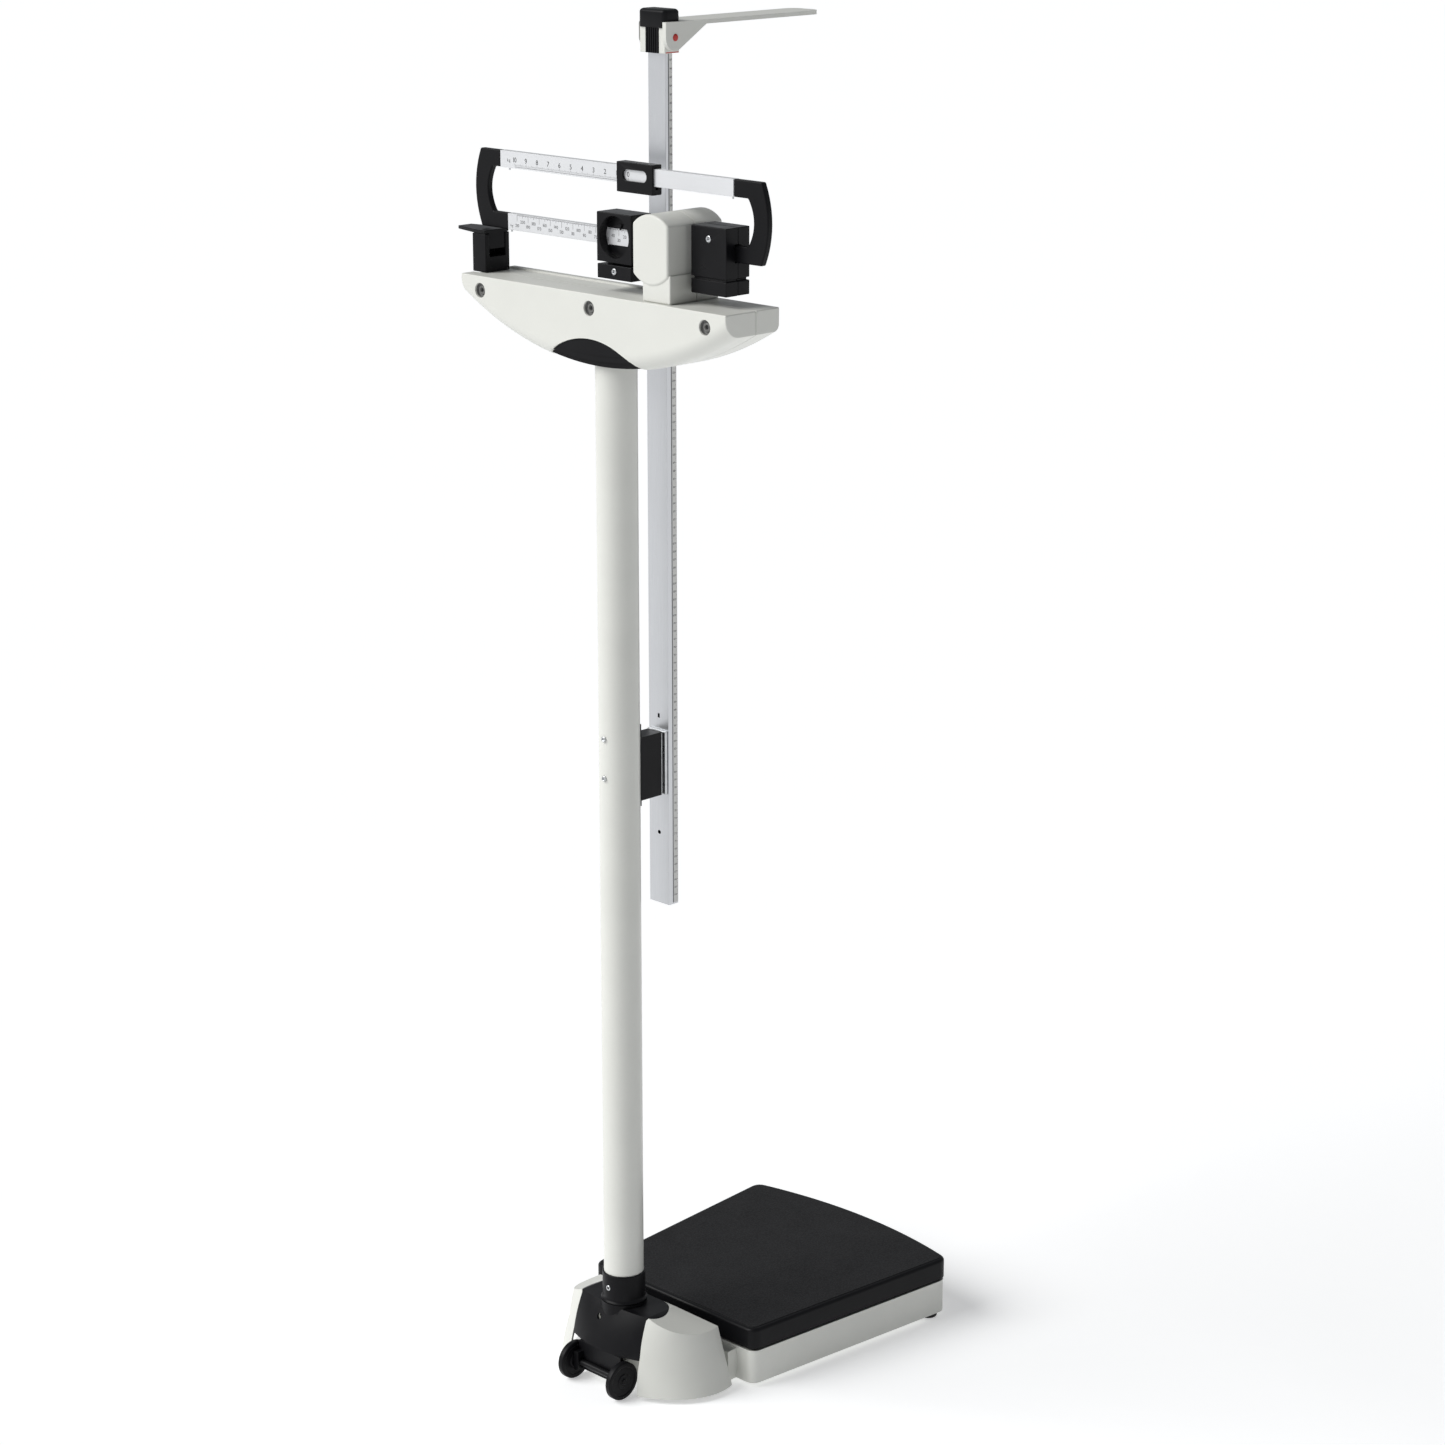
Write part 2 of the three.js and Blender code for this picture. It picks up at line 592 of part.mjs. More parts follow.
// The middle panel's reach: two leaning seams, plus the rounded lobe round the collar on top.
function coverReach(grow) {
  const seams = prismY(
    polygon([
      [-COVER_RIM_HALF_WIDTH - grow, BASE_RIM_Z],
      [COVER_RIM_HALF_WIDTH + grow, BASE_RIM_Z],
      [COVER_TOP_HALF_WIDTH + grow, BASE_TOP_Z],
      [COVER_TOP_HALF_WIDTH + grow, BASE_TOP_Z + 5],
      [-COVER_TOP_HALF_WIDTH - grow, BASE_TOP_Z + 5],
      [-COVER_TOP_HALF_WIDTH - grow, BASE_TOP_Z],
    ]),
    -200, LOBE_CENTRE_Y - LOBE_R / 2,
  );
  const lobe = prismZ(
    roundedRectangle(
      0, LOBE_CENTRE_Y, 2 * (LOBE_HALF_WIDTH + grow), 2 * (LOBE_R + grow), LOBE_R + grow - 0.1,
    ),
    BASE_TOP_Z - BASE_WALL - grow, BASE_TOP_Z + 5,
  );
  return seams.add(lobe);
}

const shell = baseShell();
const collarBore = cylinderZ(COLUMN_R + GAP, 0, BOSS_TOP_Z + 5, 0, 0, 48);
const socketRoom = cylinderZ(SOCKET_R + GAP, 0, BASE_TOP_Z - BASE_WALL);
const COVER_SCREW = { x: -13, z: 90, r: 2.6 };
const boss = cylinderZ(BOSS_R, BOSS_TOP_Z - BOSS_DEPTH, BOSS_TOP_Z, 0, 0, 48);
const cover = shell
  .intersect(coverReach(0))
  .intersect(above(COVER_SKIRT_Z))
  .add(boss)
  .subtract(collarBore)
  .subtract(cylinderY(COVER_SCREW.r, -100, 0, COVER_SCREW.x, COVER_SCREW.z, 20));
addPiece(base, "base_cover", cover, blackPlastic());

const wings = shell.subtract(coverReach(GAP)).subtract(collarBore).subtract(socketRoom);
const rightSide = box(0, FAR_AWAY, -FAR_AWAY, FAR_AWAY, -FAR_AWAY, FAR_AWAY);
addPiece(base, "wing_right", wings.intersect(rightSide), ivoryPlastic());
addPiece(base, "wing_left", wings.subtract(rightSide), ivoryPlastic());

// The roller bracket: a panel set back below the cover, with cheeks that carry the axle.
function rollerBracket() {
  const half = WHEEL_X - WHEEL_WIDTH / 2 - 1;
  const panel = box(-half, half, ROLLER_PANEL_Y, ROLLER_PANEL_Y + 4, 14, COVER_SKIRT_Z - GAP);
  const cheek = (x) => box(x - 4, x + 4, WHEEL_Y - 6, -COLLAR_R - 4 - GAP, 14, 40);
  return panel
    .add(cheek(half - 4))
    .add(cheek(-half + 4))
    .add(box(-half, half, ROLLER_PANEL_Y, -COLLAR_R - 4 - GAP, 34, 40))
    .subtract(cylinderX(AXLE_R + GAP, -100, 100, WHEEL_Y, WHEEL_R));
}
addPiece(base, "roller_bracket", rollerBracket(), blackPlastic());

const axleHalf = WHEEL_X + WHEEL_WIDTH / 2 + 1.5;
addPiece(
  base, "wheel_axle", cylinderX(AXLE_R, -axleHalf, axleHalf, WHEEL_Y, WHEEL_R, 24), steel(),
);

// A wheel about its own centre: a rounded tread and a hub bored for the axle.
function wheel() {
  const half = WHEEL_WIDTH / 2;
  const edge = 2;
  const bore = AXLE_R + RUNNING_GAP;
  const profile = [
    [bore, -half],
    [WHEEL_R - edge, -half],
    [WHEEL_R, -half + edge],
    [WHEEL_R, half - edge],
    [WHEEL_R - edge, half],
    [bore, half],
    [bore, -half],
  ].map(([r, h]) => new THREE.Vector2(r, h));
  return solid(new THREE.LatheGeometry(profile, 36).rotateZ(Math.PI / 2));
}
addPiece(base, "wheel_left", wheel(), blackPlastic(), [-WHEEL_X, WHEEL_Y, WHEEL_R]);
addPiece(base, "wheel_right", wheel(), blackPlastic(), [WHEEL_X, WHEEL_Y, WHEEL_R]);

// The collar: a sleeve round the column with a foot that flares onto the cover.
function collar() {
  const foot = BOSS_TOP_Z + GAP;
  const flare = 1.2;
  const profile = [
    [COLUMN_R + GAP, foot],
    [COLLAR_R + flare, foot],
    [COLLAR_R + flare * 0.3, foot + flare * 0.8],
    [COLLAR_R, foot + flare * 2],
    [COLLAR_R, COLLAR_TOP_Z - 0.8],
    [COLLAR_R - 0.8, COLLAR_TOP_Z],
    [COLUMN_R + GAP, COLLAR_TOP_Z],
    [COLUMN_R + GAP, foot],
  ].map(([r, z]) => new THREE.Vector2(r, z));
  return solid(new THREE.LatheGeometry(profile, 48).rotateX(Math.PI / 2));
}
const COLLAR_SCREW_Z = 132;
const COLLAR_SCREW_R = 3;
const collarScrewHole = cylinderY(COLLAR_SCREW_R + GAP, -COLLAR_R - 5, 0, 0, COLLAR_SCREW_Z, 20);
addPiece(base, "column_collar", collar().subtract(collarScrewHole), blackPlastic());
addPiece(
  base, "collar_screw",
  cylinderY(COLLAR_SCREW_R, -COLLAR_R - 0.5, -COLUMN_R - GAP, 0, COLLAR_SCREW_Z, 20), steel(),
);

// The column, drilled on its front for the two bracket screws.
const BRACKET_SCREW_SHANK_R = 2;
function columnTube() {
  let tube = cylinderZ(COLUMN_R, COLUMN_FOOT_Z, COLUMN_TOP_Z, 0, 0, 48).subtract(
    cylinderZ(COLUMN_R - COLUMN_WALL, COLUMN_FOOT_Z - 1, COLUMN_TOP_Z + 1, 0, 0, 48),
  );
  for (const z of BRACKET_SCREW_Z)
    tube = tube.subtract(cylinderY(BRACKET_SCREW_SHANK_R + GAP, -60, 60, 0, z, 16));
  return tube;
}
addPiece(base, "column", columnTube(), ivoryPaint());

// ---- beam head housing ----
const head = new THREE.Group();
scale.add(head);

// The housing's front view: flat top, short upright ends, a belly that is one arc.
function housingView(inset, topZ) {
  const half = HOUSING_HALF_LENGTH - inset;
  const r = HOUSING_BELLY_R - inset;
  const centreZ = HOUSING_BELLY_Z + HOUSING_BELLY_R;
  const sweep = Math.asin(half / r);
  const shape = new THREE.Shape();
  shape.moveTo(-half, topZ);
  shape.lineTo(-half, centreZ - r * Math.cos(sweep));
  shape.absarc(0, centreZ, r, -Math.PI / 2 - sweep, -Math.PI / 2 + sweep);
  shape.lineTo(half, topZ);
  return shape;
}

// The same view carried from front to back, its lower edges rounded in steps.
function housingBlock(inset, topZ) {
  const arcSteps = 4;
  const front = HOUSING_FRONT_Y + inset;
  const rear = HOUSING_REAR_Y - inset;
  const edge = (radius) => Math.max(radius - inset, 1);
  let block = prismY(
    housingView(inset, topZ), front + edge(HOUSING_FRONT_FILLET), rear - edge(HOUSING_REAR_FILLET), 28,
  );
  const roundOff = (radius, y, sign) => {
    for (let step = 0; step < arcSteps; step++) {
      const from = (Math.PI / 2) * (step / arcSteps);
      const to = (Math.PI / 2) * ((step + 1) / arcSteps);
      const lift = radius * (1 - Math.cos((from + to) / 2));
      const y0 = y + sign * radius * Math.sin(from);
      const y1 = y + sign * radius * Math.sin(to);
      const outline = housingView(inset, topZ);
      const slice = prismY(outline, Math.min(y0, y1) - 0.01, Math.max(y0, y1) + 0.01, 28);
      const trim = box(-300, 300, -300, 300, 0, HOUSING_BELLY_Z + inset + lift);
      const raised = prismY(housingView(inset, topZ), -300, 300, 28).translate([0, 0, lift]);
      block = block.add(slice.intersect(raised).subtract(trim));
    }
  };
  roundOff(edge(HOUSING_FRONT_FILLET), front + edge(HOUSING_FRONT_FILLET), -1);
  roundOff(edge(HOUSING_REAR_FILLET), rear - edge(HOUSING_REAR_FILLET), 1);
  return block;
}

// The arched opening at the bottom of both shells, where the black belly cover shows.
function archPrism(grow, y0, y1) {
  const centreZ = ARCH_TOP_Z - ARCH_R;
  const r = ARCH_R + grow;
  const foot = HOUSING_BELLY_Z - 10;
  const half = Math.sqrt(r * r - (foot - centreZ) ** 2);
  const sweep = Math.asin(half / r);
  const shape = new THREE.Shape();
  shape.moveTo(-half, foot);
  shape.absarc(0, centreZ, r, Math.PI / 2 + sweep, Math.PI / 2 - sweep, true);
  return prismY(shape, y0, y1, 20);
}

const screwPlaces = [-SCREW_SPACING, 0, SCREW_SPACING];

// The shell of the housing, before it is parted into a front and a rear half.
function housingShell() {
  const topChannel = box(
    -300, 300, TOP_CHANNEL_FRONT_Y, TOP_CHANNEL_REAR_Y,
    HOUSING_TOP_Z - TOP_CHANNEL_DEPTH, HOUSING_TOP_Z + 1,
  ).intersect(box(POST_LEFT_X - 8, PEDESTAL_LEFT_X - GAP, -300, 300, 0, 3000));
  let body = housingBlock(0, HOUSING_TOP_Z).subtract(topChannel);
  const hollow = housingBlock(HOUSING_WALL, HOUSING_TOP_Z - HOUSING_WALL - TOP_CHANNEL_DEPTH);
  body = body.subtract(hollow).subtract(archPrism(0, -300, 300));
  // ways through the top for the post's foot and the draft link to the beam
  body = body.subtract(
    box(
      TOWER_X - 8, TOWER_X + LOAD_KNIFE_OFFSET + 8, BEAM_Y - 9, BEAM_Y + 9,
      HOUSING_TOP_Z - 20, HOUSING_TOP_Z + 1,
    ),
  );
  for (const x of screwPlaces) {
    const boss = cylinderY(
      SCREW_RECESS_R + 2.5, HOUSING_FRONT_Y + 1, HOUSING_FRONT_Y + SCREW_RECESS_DEPTH + 3, x, SCREW_Z,
    ).intersect(housingBlock(0.5, HOUSING_TOP_Z - 1));
    body = body.add(boss);
    body = body.subtract(
      cylinderY(
        SCREW_RECESS_R, HOUSING_FRONT_Y - 1, HOUSING_FRONT_Y + SCREW_RECESS_DEPTH, x, SCREW_Z, 28,
      ),
    );
    body = body.subtract(cylinderY(2.6, -60, BEAM_Y - 12, x, SCREW_Z, 16));
  }
  return body;
}
const housing = housingShell();
addPiece(head, "housing_front", housing.intersect(inFrontOf(BEAM_Y - GAP / 2)), ivoryPlastic());
addPiece(head, "housing_rear", housing.intersect(behind(BEAM_Y + GAP / 2)), ivoryPlastic());

// A housing screw about its seat: a socket head on a long shank, running back along +Y.
function housingScrew() {
  const headThick = 2.4;
  const shank = cylinderY(2.2, headThick - 0.1, HOUSING_SCREW_LENGTH, 0, 0, 16);
  const socketDepth = 1.6;
  return cylinderY(SCREW_HEAD_R, 0, headThick, 0, 0, 28)
    .add(shank)
    .subtract(cylinderY(2.2, -1, socketDepth, 0, 0, 6));
}
screwPlaces.forEach((x, i) => {
  const seat = HOUSING_FRONT_Y + SCREW_RECESS_DEPTH - 2.4 - GAP;
  addPiece(head, "housing_screw_" + (i + 1), housingScrew(), steel(), [x, seat, SCREW_Z]);
});

// The belly cover: a black saddle inside the arch, with the column passing up through it.
const BELLY_SETBACK = 2;
const bellyCover = housingBlock(BELLY_SETBACK, HOUSING_TOP_Z)
  .intersect(archPrism(-GAP, -300, 300))
  .subtract(cylinderZ(COLUMN_R + GAP, 1000, 1500, 0, 0, 48));
addPiece(head, "belly_cover", bellyCover, blackPlastic());

// The carrier bar inside the housing joins the column head to the post and the tower.
const carrierBottom = CARRIER_TOP_Z - CARRIER_THICK;
const carrierBar = box(
  -CARRIER_HALF_LENGTH, CARRIER_HALF_LENGTH,
  BEAM_Y - CARRIER_HALF_WIDTH, BEAM_Y + CARRIER_HALF_WIDTH, carrierBottom, CARRIER_TOP_Z,
)
  .add(
    cylinderZ(COLUMN_R + GAP + 4, COLUMN_TOP_Z - 14, carrierBottom + 1).subtract(
      cylinderZ(COLUMN_R + GAP, 1000, COLUMN_TOP_Z + GAP),
    ),
  )
  .subtract(cylinderZ(CARRIER_BORE_R, 1000, 1500))
  .subtract(
    box(
      -12, TOWER_X + LOAD_KNIFE_OFFSET + 9, BEAM_Y - 9.5, BEAM_Y + 9.5, carrierBottom - 1, 1500,
    ),
  );
addPiece(head, "carrier_bar", carrierBar, steel());

// ---- bearing tower ----

// The tower's front view: a round drum with both sides cut flat.
function drum(inset, y0, y1) {
  return cylinderY(TOWER_R - inset, y0, y1, TOWER_X, TOWER_Z, 56).intersect(
    box(
      TOWER_X - TOWER_HALF_WIDTH + inset, TOWER_X + TOWER_HALF_WIDTH - inset,
      -300, 300, 0, 3000,
    ),
  );
}

function towerShell() {
  const pedestal = box(
    PEDESTAL_LEFT_X, PEDESTAL_RIGHT_X, PEDESTAL_FRONT_Y, PEDESTAL_REAR_Y,
    HOUSING_TOP_Z + GAP, TOWER_Z - TOWER_R + 14,
  );
  const pedestalHollow = box(
    PEDESTAL_LEFT_X + TOWER_WALL, PEDESTAL_RIGHT_X - TOWER_WALL,
    PEDESTAL_FRONT_Y + TOWER_WALL, PEDESTAL_REAR_Y - TOWER_WALL, 0, TOWER_Z,
  );
  const front = BEAM_Y - TOWER_HALF_DEPTH;
  const rear = BEAM_Y + TOWER_HALF_DEPTH;
  const beamWay = box(
    TOWER_X - 60, TOWER_X + 60, BEAM_Y - BEAM_THICK / 2 - 1.6, BEAM_Y + BEAM_THICK / 2 + 1.6,
    LOWER_BEAM_BOTTOM_Z - 2.5, LOWER_BEAM_TOP_Z + 2.5,
  );
  return drum(0, front, rear)
    .add(pedestal)
    .subtract(drum(TOWER_WALL, front + TOWER_WALL, rear - TOWER_WALL))
    .subtract(pedestalHollow)
    .subtract(beamWay);
}
const tower = towerShell();
addPiece(head, "tower_front", tower.intersect(inFrontOf(BEAM_Y - GAP / 2)), ivoryPlastic());
addPiece(head, "tower_rear", tower.intersect(behind(BEAM_Y + GAP / 2)), ivoryPlastic());

// The knife's edge is the beam's pivot line; it points down and rests in two V bearings.
const KNIFE_EDGE_Z = (LOWER_BEAM_BOTTOM_Z + LOWER_BEAM_TOP_Z) / 2 - KNIFE_SIZE / 2;

// A knife prism: an upright kite whose lower corner is the working edge.
function knifeView(x, edgeZ, grow) {
  const half = KNIFE_SIZE / 2 + grow;
  return polygon([
    [x, edgeZ - grow * 1.5],
    [x + half, edgeZ + KNIFE_SIZE * 0.75],
    [x + half, edgeZ + KNIFE_SIZE + grow],
    [x - half, edgeZ + KNIFE_SIZE + grow],
    [x - half, edgeZ + KNIFE_SIZE * 0.75],
  ]);
}

// A bearing block that fills the drum beside the beam, with a V notch wider than the knife.
function bearingBlock(y0, y1) {
  const open = BEARING_HALF_WIDTH - 1.5;
  const vee = polygon([
    [TOWER_X, KNIFE_EDGE_Z - GAP],
    [TOWER_X + open, KNIFE_EDGE_Z + open],
    [TOWER_X + open, KNIFE_EDGE_Z + 40],
    [TOWER_X - open, KNIFE_EDGE_Z + 40],
    [TOWER_X - open, KNIFE_EDGE_Z + open],
  ]);
  return box(
    TOWER_X - BEARING_HALF_WIDTH, TOWER_X + BEARING_HALF_WIDTH, y0, y1,
    HOUSING_TOP_Z + GAP, KNIFE_EDGE_Z + 7,
  ).subtract(prismY(vee, y0 - 1, y1 + 1));
}
const bearingNear = BEAM_THICK / 2 + 5;
const bearingFar = KNIFE_HALF_LENGTH - 4;
addPiece(
  head, "bearing_front", bearingBlock(BEAM_Y - bearingFar, BEAM_Y - bearingNear), steel(),
);
addPiece(
  head, "bearing_rear", bearingBlock(BEAM_Y + bearingNear, BEAM_Y + bearingFar), steel(),
);

// ---- stop post and beam lock ----
const postFoot = HOUSING_TOP_Z - TOP_CHANNEL_DEPTH + GAP;
const stopPost = box(
  POST_LEFT_X, POST_RIGHT_X, BEAM_Y - POST_HALF_DEPTH, BEAM_Y + POST_HALF_DEPTH,
  postFoot, POST_TOP_Z,
).subtract(
  box(
    POST_LEFT_X + 4, POST_RIGHT_X + 1, BEAM_Y - POST_SLOT_HALF, BEAM_Y + POST_SLOT_HALF,
    POST_SLOT_FLOOR_Z, POST_TOP_Z + 1,
  ),
);
addPiece(head, "stop_post", stopPost, blackPlastic());

// The lock: a finger plate over the post, carried on a block that slides in the post's slot.
function beamLock() {
  const plateBottom = LOCK_PLATE_TOP_Z - LOCK_PLATE_THICK;
  const plate = prismZ(
    polygon([
      [LOCK_TIP_X, BEAM_Y - LOCK_TIP_HALF],
      [POST_LEFT_X + 2, BEAM_Y - POST_HALF_DEPTH],
      [POST_RIGHT_X - 1, BEAM_Y - POST_HALF_DEPTH],
      [POST_RIGHT_X - 1, BEAM_Y + POST_HALF_DEPTH],
      [POST_LEFT_X + 2, BEAM_Y + POST_HALF_DEPTH],
      [LOCK_TIP_X, BEAM_Y + LOCK_TIP_HALF],
    ]),
    plateBottom, LOCK_PLATE_TOP_Z,
  );
  const panel = box(
    POST_LEFT_X + 4 + GAP, POST_RIGHT_X - 1,
    BEAM_Y - POST_SLOT_HALF + GAP, BEAM_Y + POST_SLOT_HALF - GAP,
    LOCK_PANEL_BOTTOM_Z, plateBottom + 1,
  );
  return plate.add(panel);
}
addPiece(head, "beam_lock", beamLock(), blackPlastic());

// ---- beam ----
const beam = new THREE.Group();
scale.add(beam);
const beamFront = BEAM_Y - BEAM_THICK / 2;
const beamRear = BEAM_Y + BEAM_THICK / 2;
const stopPin = (x, z) => cylinderZ(STOP_PIN_R, z - STOP_PIN_LENGTH, z + 1, x, BEAM_Y, 12);

const upperBeam = box(
  UPPER_BEAM_LEFT_X, UPPER_BEAM_RIGHT_X, beamFront, beamRear,
  UPPER_BEAM_BOTTOM_Z, UPPER_BEAM_TOP_Z,
)
  .add(stopPin(-189.2, UPPER_BEAM_BOTTOM_Z))
  .add(stopPin(189, UPPER_BEAM_BOTTOM_Z));
addPiece(beam, "upper_beam", upperBeam, whiteScale());

const knifeRoom = prismY(knifeView(TOWER_X, KNIFE_EDGE_Z, GAP), -100, 100);
const loadKnifeX = TOWER_X + LOAD_KNIFE_OFFSET;
const loadKnifeRoom = cylinderY(LOAD_PIN_R + GAP, -100, 100, loadKnifeX, TOWER_Z, 20);
const lowerBeam = box(
  LOWER_BEAM_LEFT_X, LOWER_BEAM_RIGHT_X, beamFront, beamRear,
  LOWER_BEAM_BOTTOM_Z, LOWER_BEAM_TOP_Z,
)
  .add(stopPin(LOWER_BEAM_LEFT_X + 2.2, LOWER_BEAM_BOTTOM_Z))
  .subtract(knifeRoom)
  .subtract(loadKnifeRoom);
addPiece(beam, "lower_beam", lowerBeam, whiteScale());

const fulcrumKnife = prismY(
  knifeView(TOWER_X, KNIFE_EDGE_Z, 0), BEAM_Y - KNIFE_HALF_LENGTH, BEAM_Y + KNIFE_HALF_LENGTH,
);
addPiece(beam, "fulcrum_knife", fulcrumKnife, steel());
addPiece(
  beam, "load_pin",
  cylinderY(
    LOAD_PIN_R, BEAM_Y - BEAM_THICK / 2 - 7, BEAM_Y + BEAM_THICK / 2 + 7, loadKnifeX, TOWER_Z, 20,
  ),
  steel(),
);

// A point of an arc through a middle and two end points that are level with each other in depth.
function bowedLine(shape, xEnd, xMiddle, z0, z1) {
  const steps = 12;
  for (let step = 1; step <= steps; step++) {
    const t = step / steps;
    const bulge = 4 * t * (1 - t);
    shape.lineTo(xEnd + (xMiddle - xEnd) * bulge, z0 + (z1 - z0) * t);
  }
}

// A bow: joins both beams at one end; its back and its inside are long curves.
function bow(sign, upperX, lowerX) {
  const shape = new THREE.Shape();
  shape.moveTo(sign * upperX, UPPER_BEAM_TOP_Z);
  shape.lineTo(sign * BOW_CORNER_X, UPPER_BEAM_TOP_Z);
  bowedLine(shape, sign * BOW_CORNER_X, sign * BOW_OUTER_X, UPPER_BEAM_TOP_Z, LOWER_BEAM_BOTTOM_Z);
  shape.lineTo(sign * lowerX, LOWER_BEAM_BOTTOM_Z);
  shape.lineTo(sign * lowerX, LOWER_BEAM_TOP_Z);
  shape.lineTo(sign * BOW_INNER_CORNER_X, LOWER_BEAM_TOP_Z);
  bowedLine(
    shape, sign * BOW_INNER_CORNER_X, sign * (2 * BOW_INNER_X - BOW_INNER_CORNER_X),
    LOWER_BEAM_TOP_Z, UPPER_BEAM_BOTTOM_Z,
  );
  shape.lineTo(sign * upperX, UPPER_BEAM_BOTTOM_Z);
  return prismY(shape, BEAM_Y - BOW_THICK / 2, BEAM_Y + BOW_THICK / 2);
}
addPiece(
  beam, "bow_left", bow(-1, -UPPER_BEAM_LEFT_X + GAP, -LOWER_BEAM_LEFT_X + GAP), blackPlastic(),
);
addPiece(
  beam, "bow_right", bow(1, UPPER_BEAM_RIGHT_X + GAP, LOWER_BEAM_RIGHT_X + GAP), blackPlastic(),
);

// A block on a beam, as wide and deep as its own record, cut through for the beam.
function beamBlock({ x, width, depth, bottom, top }, slotBottom, slotTop, slotThick) {
  return prismX(
    roundedRectangle(BEAM_Y, (bottom + top) / 2, depth, top - bottom, 1.2),
    x - width / 2, x + width / 2, 2,
  ).subtract(
    box(
      x - width, x + width, BEAM_Y - slotThick / 2, BEAM_Y + slotThick / 2, slotBottom, slotTop,
    ),
  );
}

// The channel in a poise's lower jaw that clears the pins under the beams.
function pinChannel({ x, width }, beamBottom) {
  const half = STOP_PIN_R + 1;
  return box(
    x - width, x + width, BEAM_Y - half, BEAM_Y + half, beamBottom - STOP_PIN_LENGTH - 1, beamBottom,
  );
}

// A groove that runs round a block, cut in by its own width.
function grooveRound({ x, width, depth }, z, height, cut) {
  return box(x - width, x + width, -300, 300, z, z + height).subtract(
    box(
      x - width / 2 + cut, x + width / 2 - cut,
      BEAM_Y - depth / 2 + cut, BEAM_Y + depth / 2 - cut, z - 1, z + height + 1,
    ),
  );
}

// The counterweight clamps the beam between two halves held by a screw.
const counterweightSlot = beamBlock(
  COUNTERWEIGHT, LOWER_BEAM_BOTTOM_Z - GAP, LOWER_BEAM_TOP_Z + GAP, BEAM_THICK + 2 * GAP,
);
const counterweightSeat = BEAM_Y - COUNTERWEIGHT.depth / 2;
const counterweight = counterweightSlot
  .subtract(grooveRound(COUNTERWEIGHT, CLAMP_GROOVE_Z, CLAMP_GROOVE, 2.5))
  .subtract(
    cylinderY(
      RING_SCREW_R + GAP, counterweightSeat - 5, counterweightSeat + 9,
      COUNTERWEIGHT.x, COUNTERWEIGHT_SCREW_Z, 24,
    ),
  );
addPiece(
  beam, "counterweight_front", counterweight.intersect(inFrontOf(BEAM_Y - GAP / 2)), blackPlastic(),
);
addPiece(
  beam, "counterweight_rear", counterweight.intersect(behind(BEAM_Y + GAP / 2)), blackPlastic(),
);

// A ring-headed socket screw about its head, running back along +Y.
function ringScrew() {
  return cylinderY(RING_SCREW_R, -RING_SCREW_HEAD, 8, 0, 0, 24).subtract(
    cylinderY(1.6, -RING_SCREW_HEAD - 1, 2, 0, 0, 6),
  );
}
addPiece(
  beam, "counterweight_screw", ringScrew(), steel(),
  [COUNTERWEIGHT.x, counterweightSeat + 0.5, COUNTERWEIGHT_SCREW_Z],
);

// ---- poises ----
const poises = new THREE.Group();
scale.add(poises);

// The large poise: a deep round window bares the beam's numbers; a clamp piece hangs below.
function largePoise() {
  const front = BEAM_Y - LARGE_POISE.depth / 2;
  const slotThick = BEAM_THICK + 2 * SLIDE_CLEARANCE;
  const window = cylinderY(
    LARGE_WINDOW_R, front - 1, BEAM_Y - slotThick / 2 + 0.1, LARGE_POISE.x, LARGE_WINDOW_Z, 48,
  );
  const recessFloorY = BEAM_Y - slotThick / 2;
  const pointer = prismY(
    polygon([
      [LARGE_POISE.x - 3, LOWER_BEAM_TOP_Z + 6],
      [LARGE_POISE.x, LOWER_BEAM_TOP_Z - 1],
      [LARGE_POISE.x + 3, LOWER_BEAM_TOP_Z + 6],
    ]),
    recessFloorY - 2, recessFloorY,
  ).add(
    box(
      LARGE_POISE.x - 2, LARGE_POISE.x + 2, recessFloorY - 1, recessFloorY + 1,
      LOWER_BEAM_TOP_Z + SLIDE_CLEARANCE, LOWER_BEAM_TOP_Z + 5,
    ),
  );
  return beamBlock(
    LARGE_POISE, LOWER_BEAM_BOTTOM_Z - SLIDE_CLEARANCE, LOWER_BEAM_TOP_Z + SLIDE_CLEARANCE,
    slotThick,
  )
    .subtract(window)
    .subtract(pinChannel(LARGE_POISE, LOWER_BEAM_BOTTOM_Z))
    .add(pointer)
    .intersect(above(CLAMP_GROOVE_Z + CLAMP_GROOVE))
    .add(
      box(
        LARGE_POISE.x - 20, LARGE_POISE.x + 20, BEAM_Y - 8, BEAM_Y + 8,
        CLAMP_GROOVE_Z + GAP, CLAMP_GROOVE_Z + CLAMP_GROOVE + 1,
      ),
    );
}
addPiece(poises, "large_poise", largePoise(), blackPlastic());

const clampSeat = BEAM_Y - LARGE_POISE.depth / 2;
const poiseClamp = beamBlock(LARGE_POISE, 0, 1, 1)
  .subtract(above(CLAMP_GROOVE_Z))
  .subtract(
    cylinderY(RING_SCREW_R + GAP, clampSeat - 5, clampSeat + 9, LARGE_POISE.x, POISE_SCREW_Z, 24),
  );
addPiece(poises, "poise_clamp", poiseClamp, blackPlastic());
addPiece(
  poises, "poise_screw", ringScrew(), steel(), [LARGE_POISE.x, clampSeat + 0.5, POISE_SCREW_Z],
);

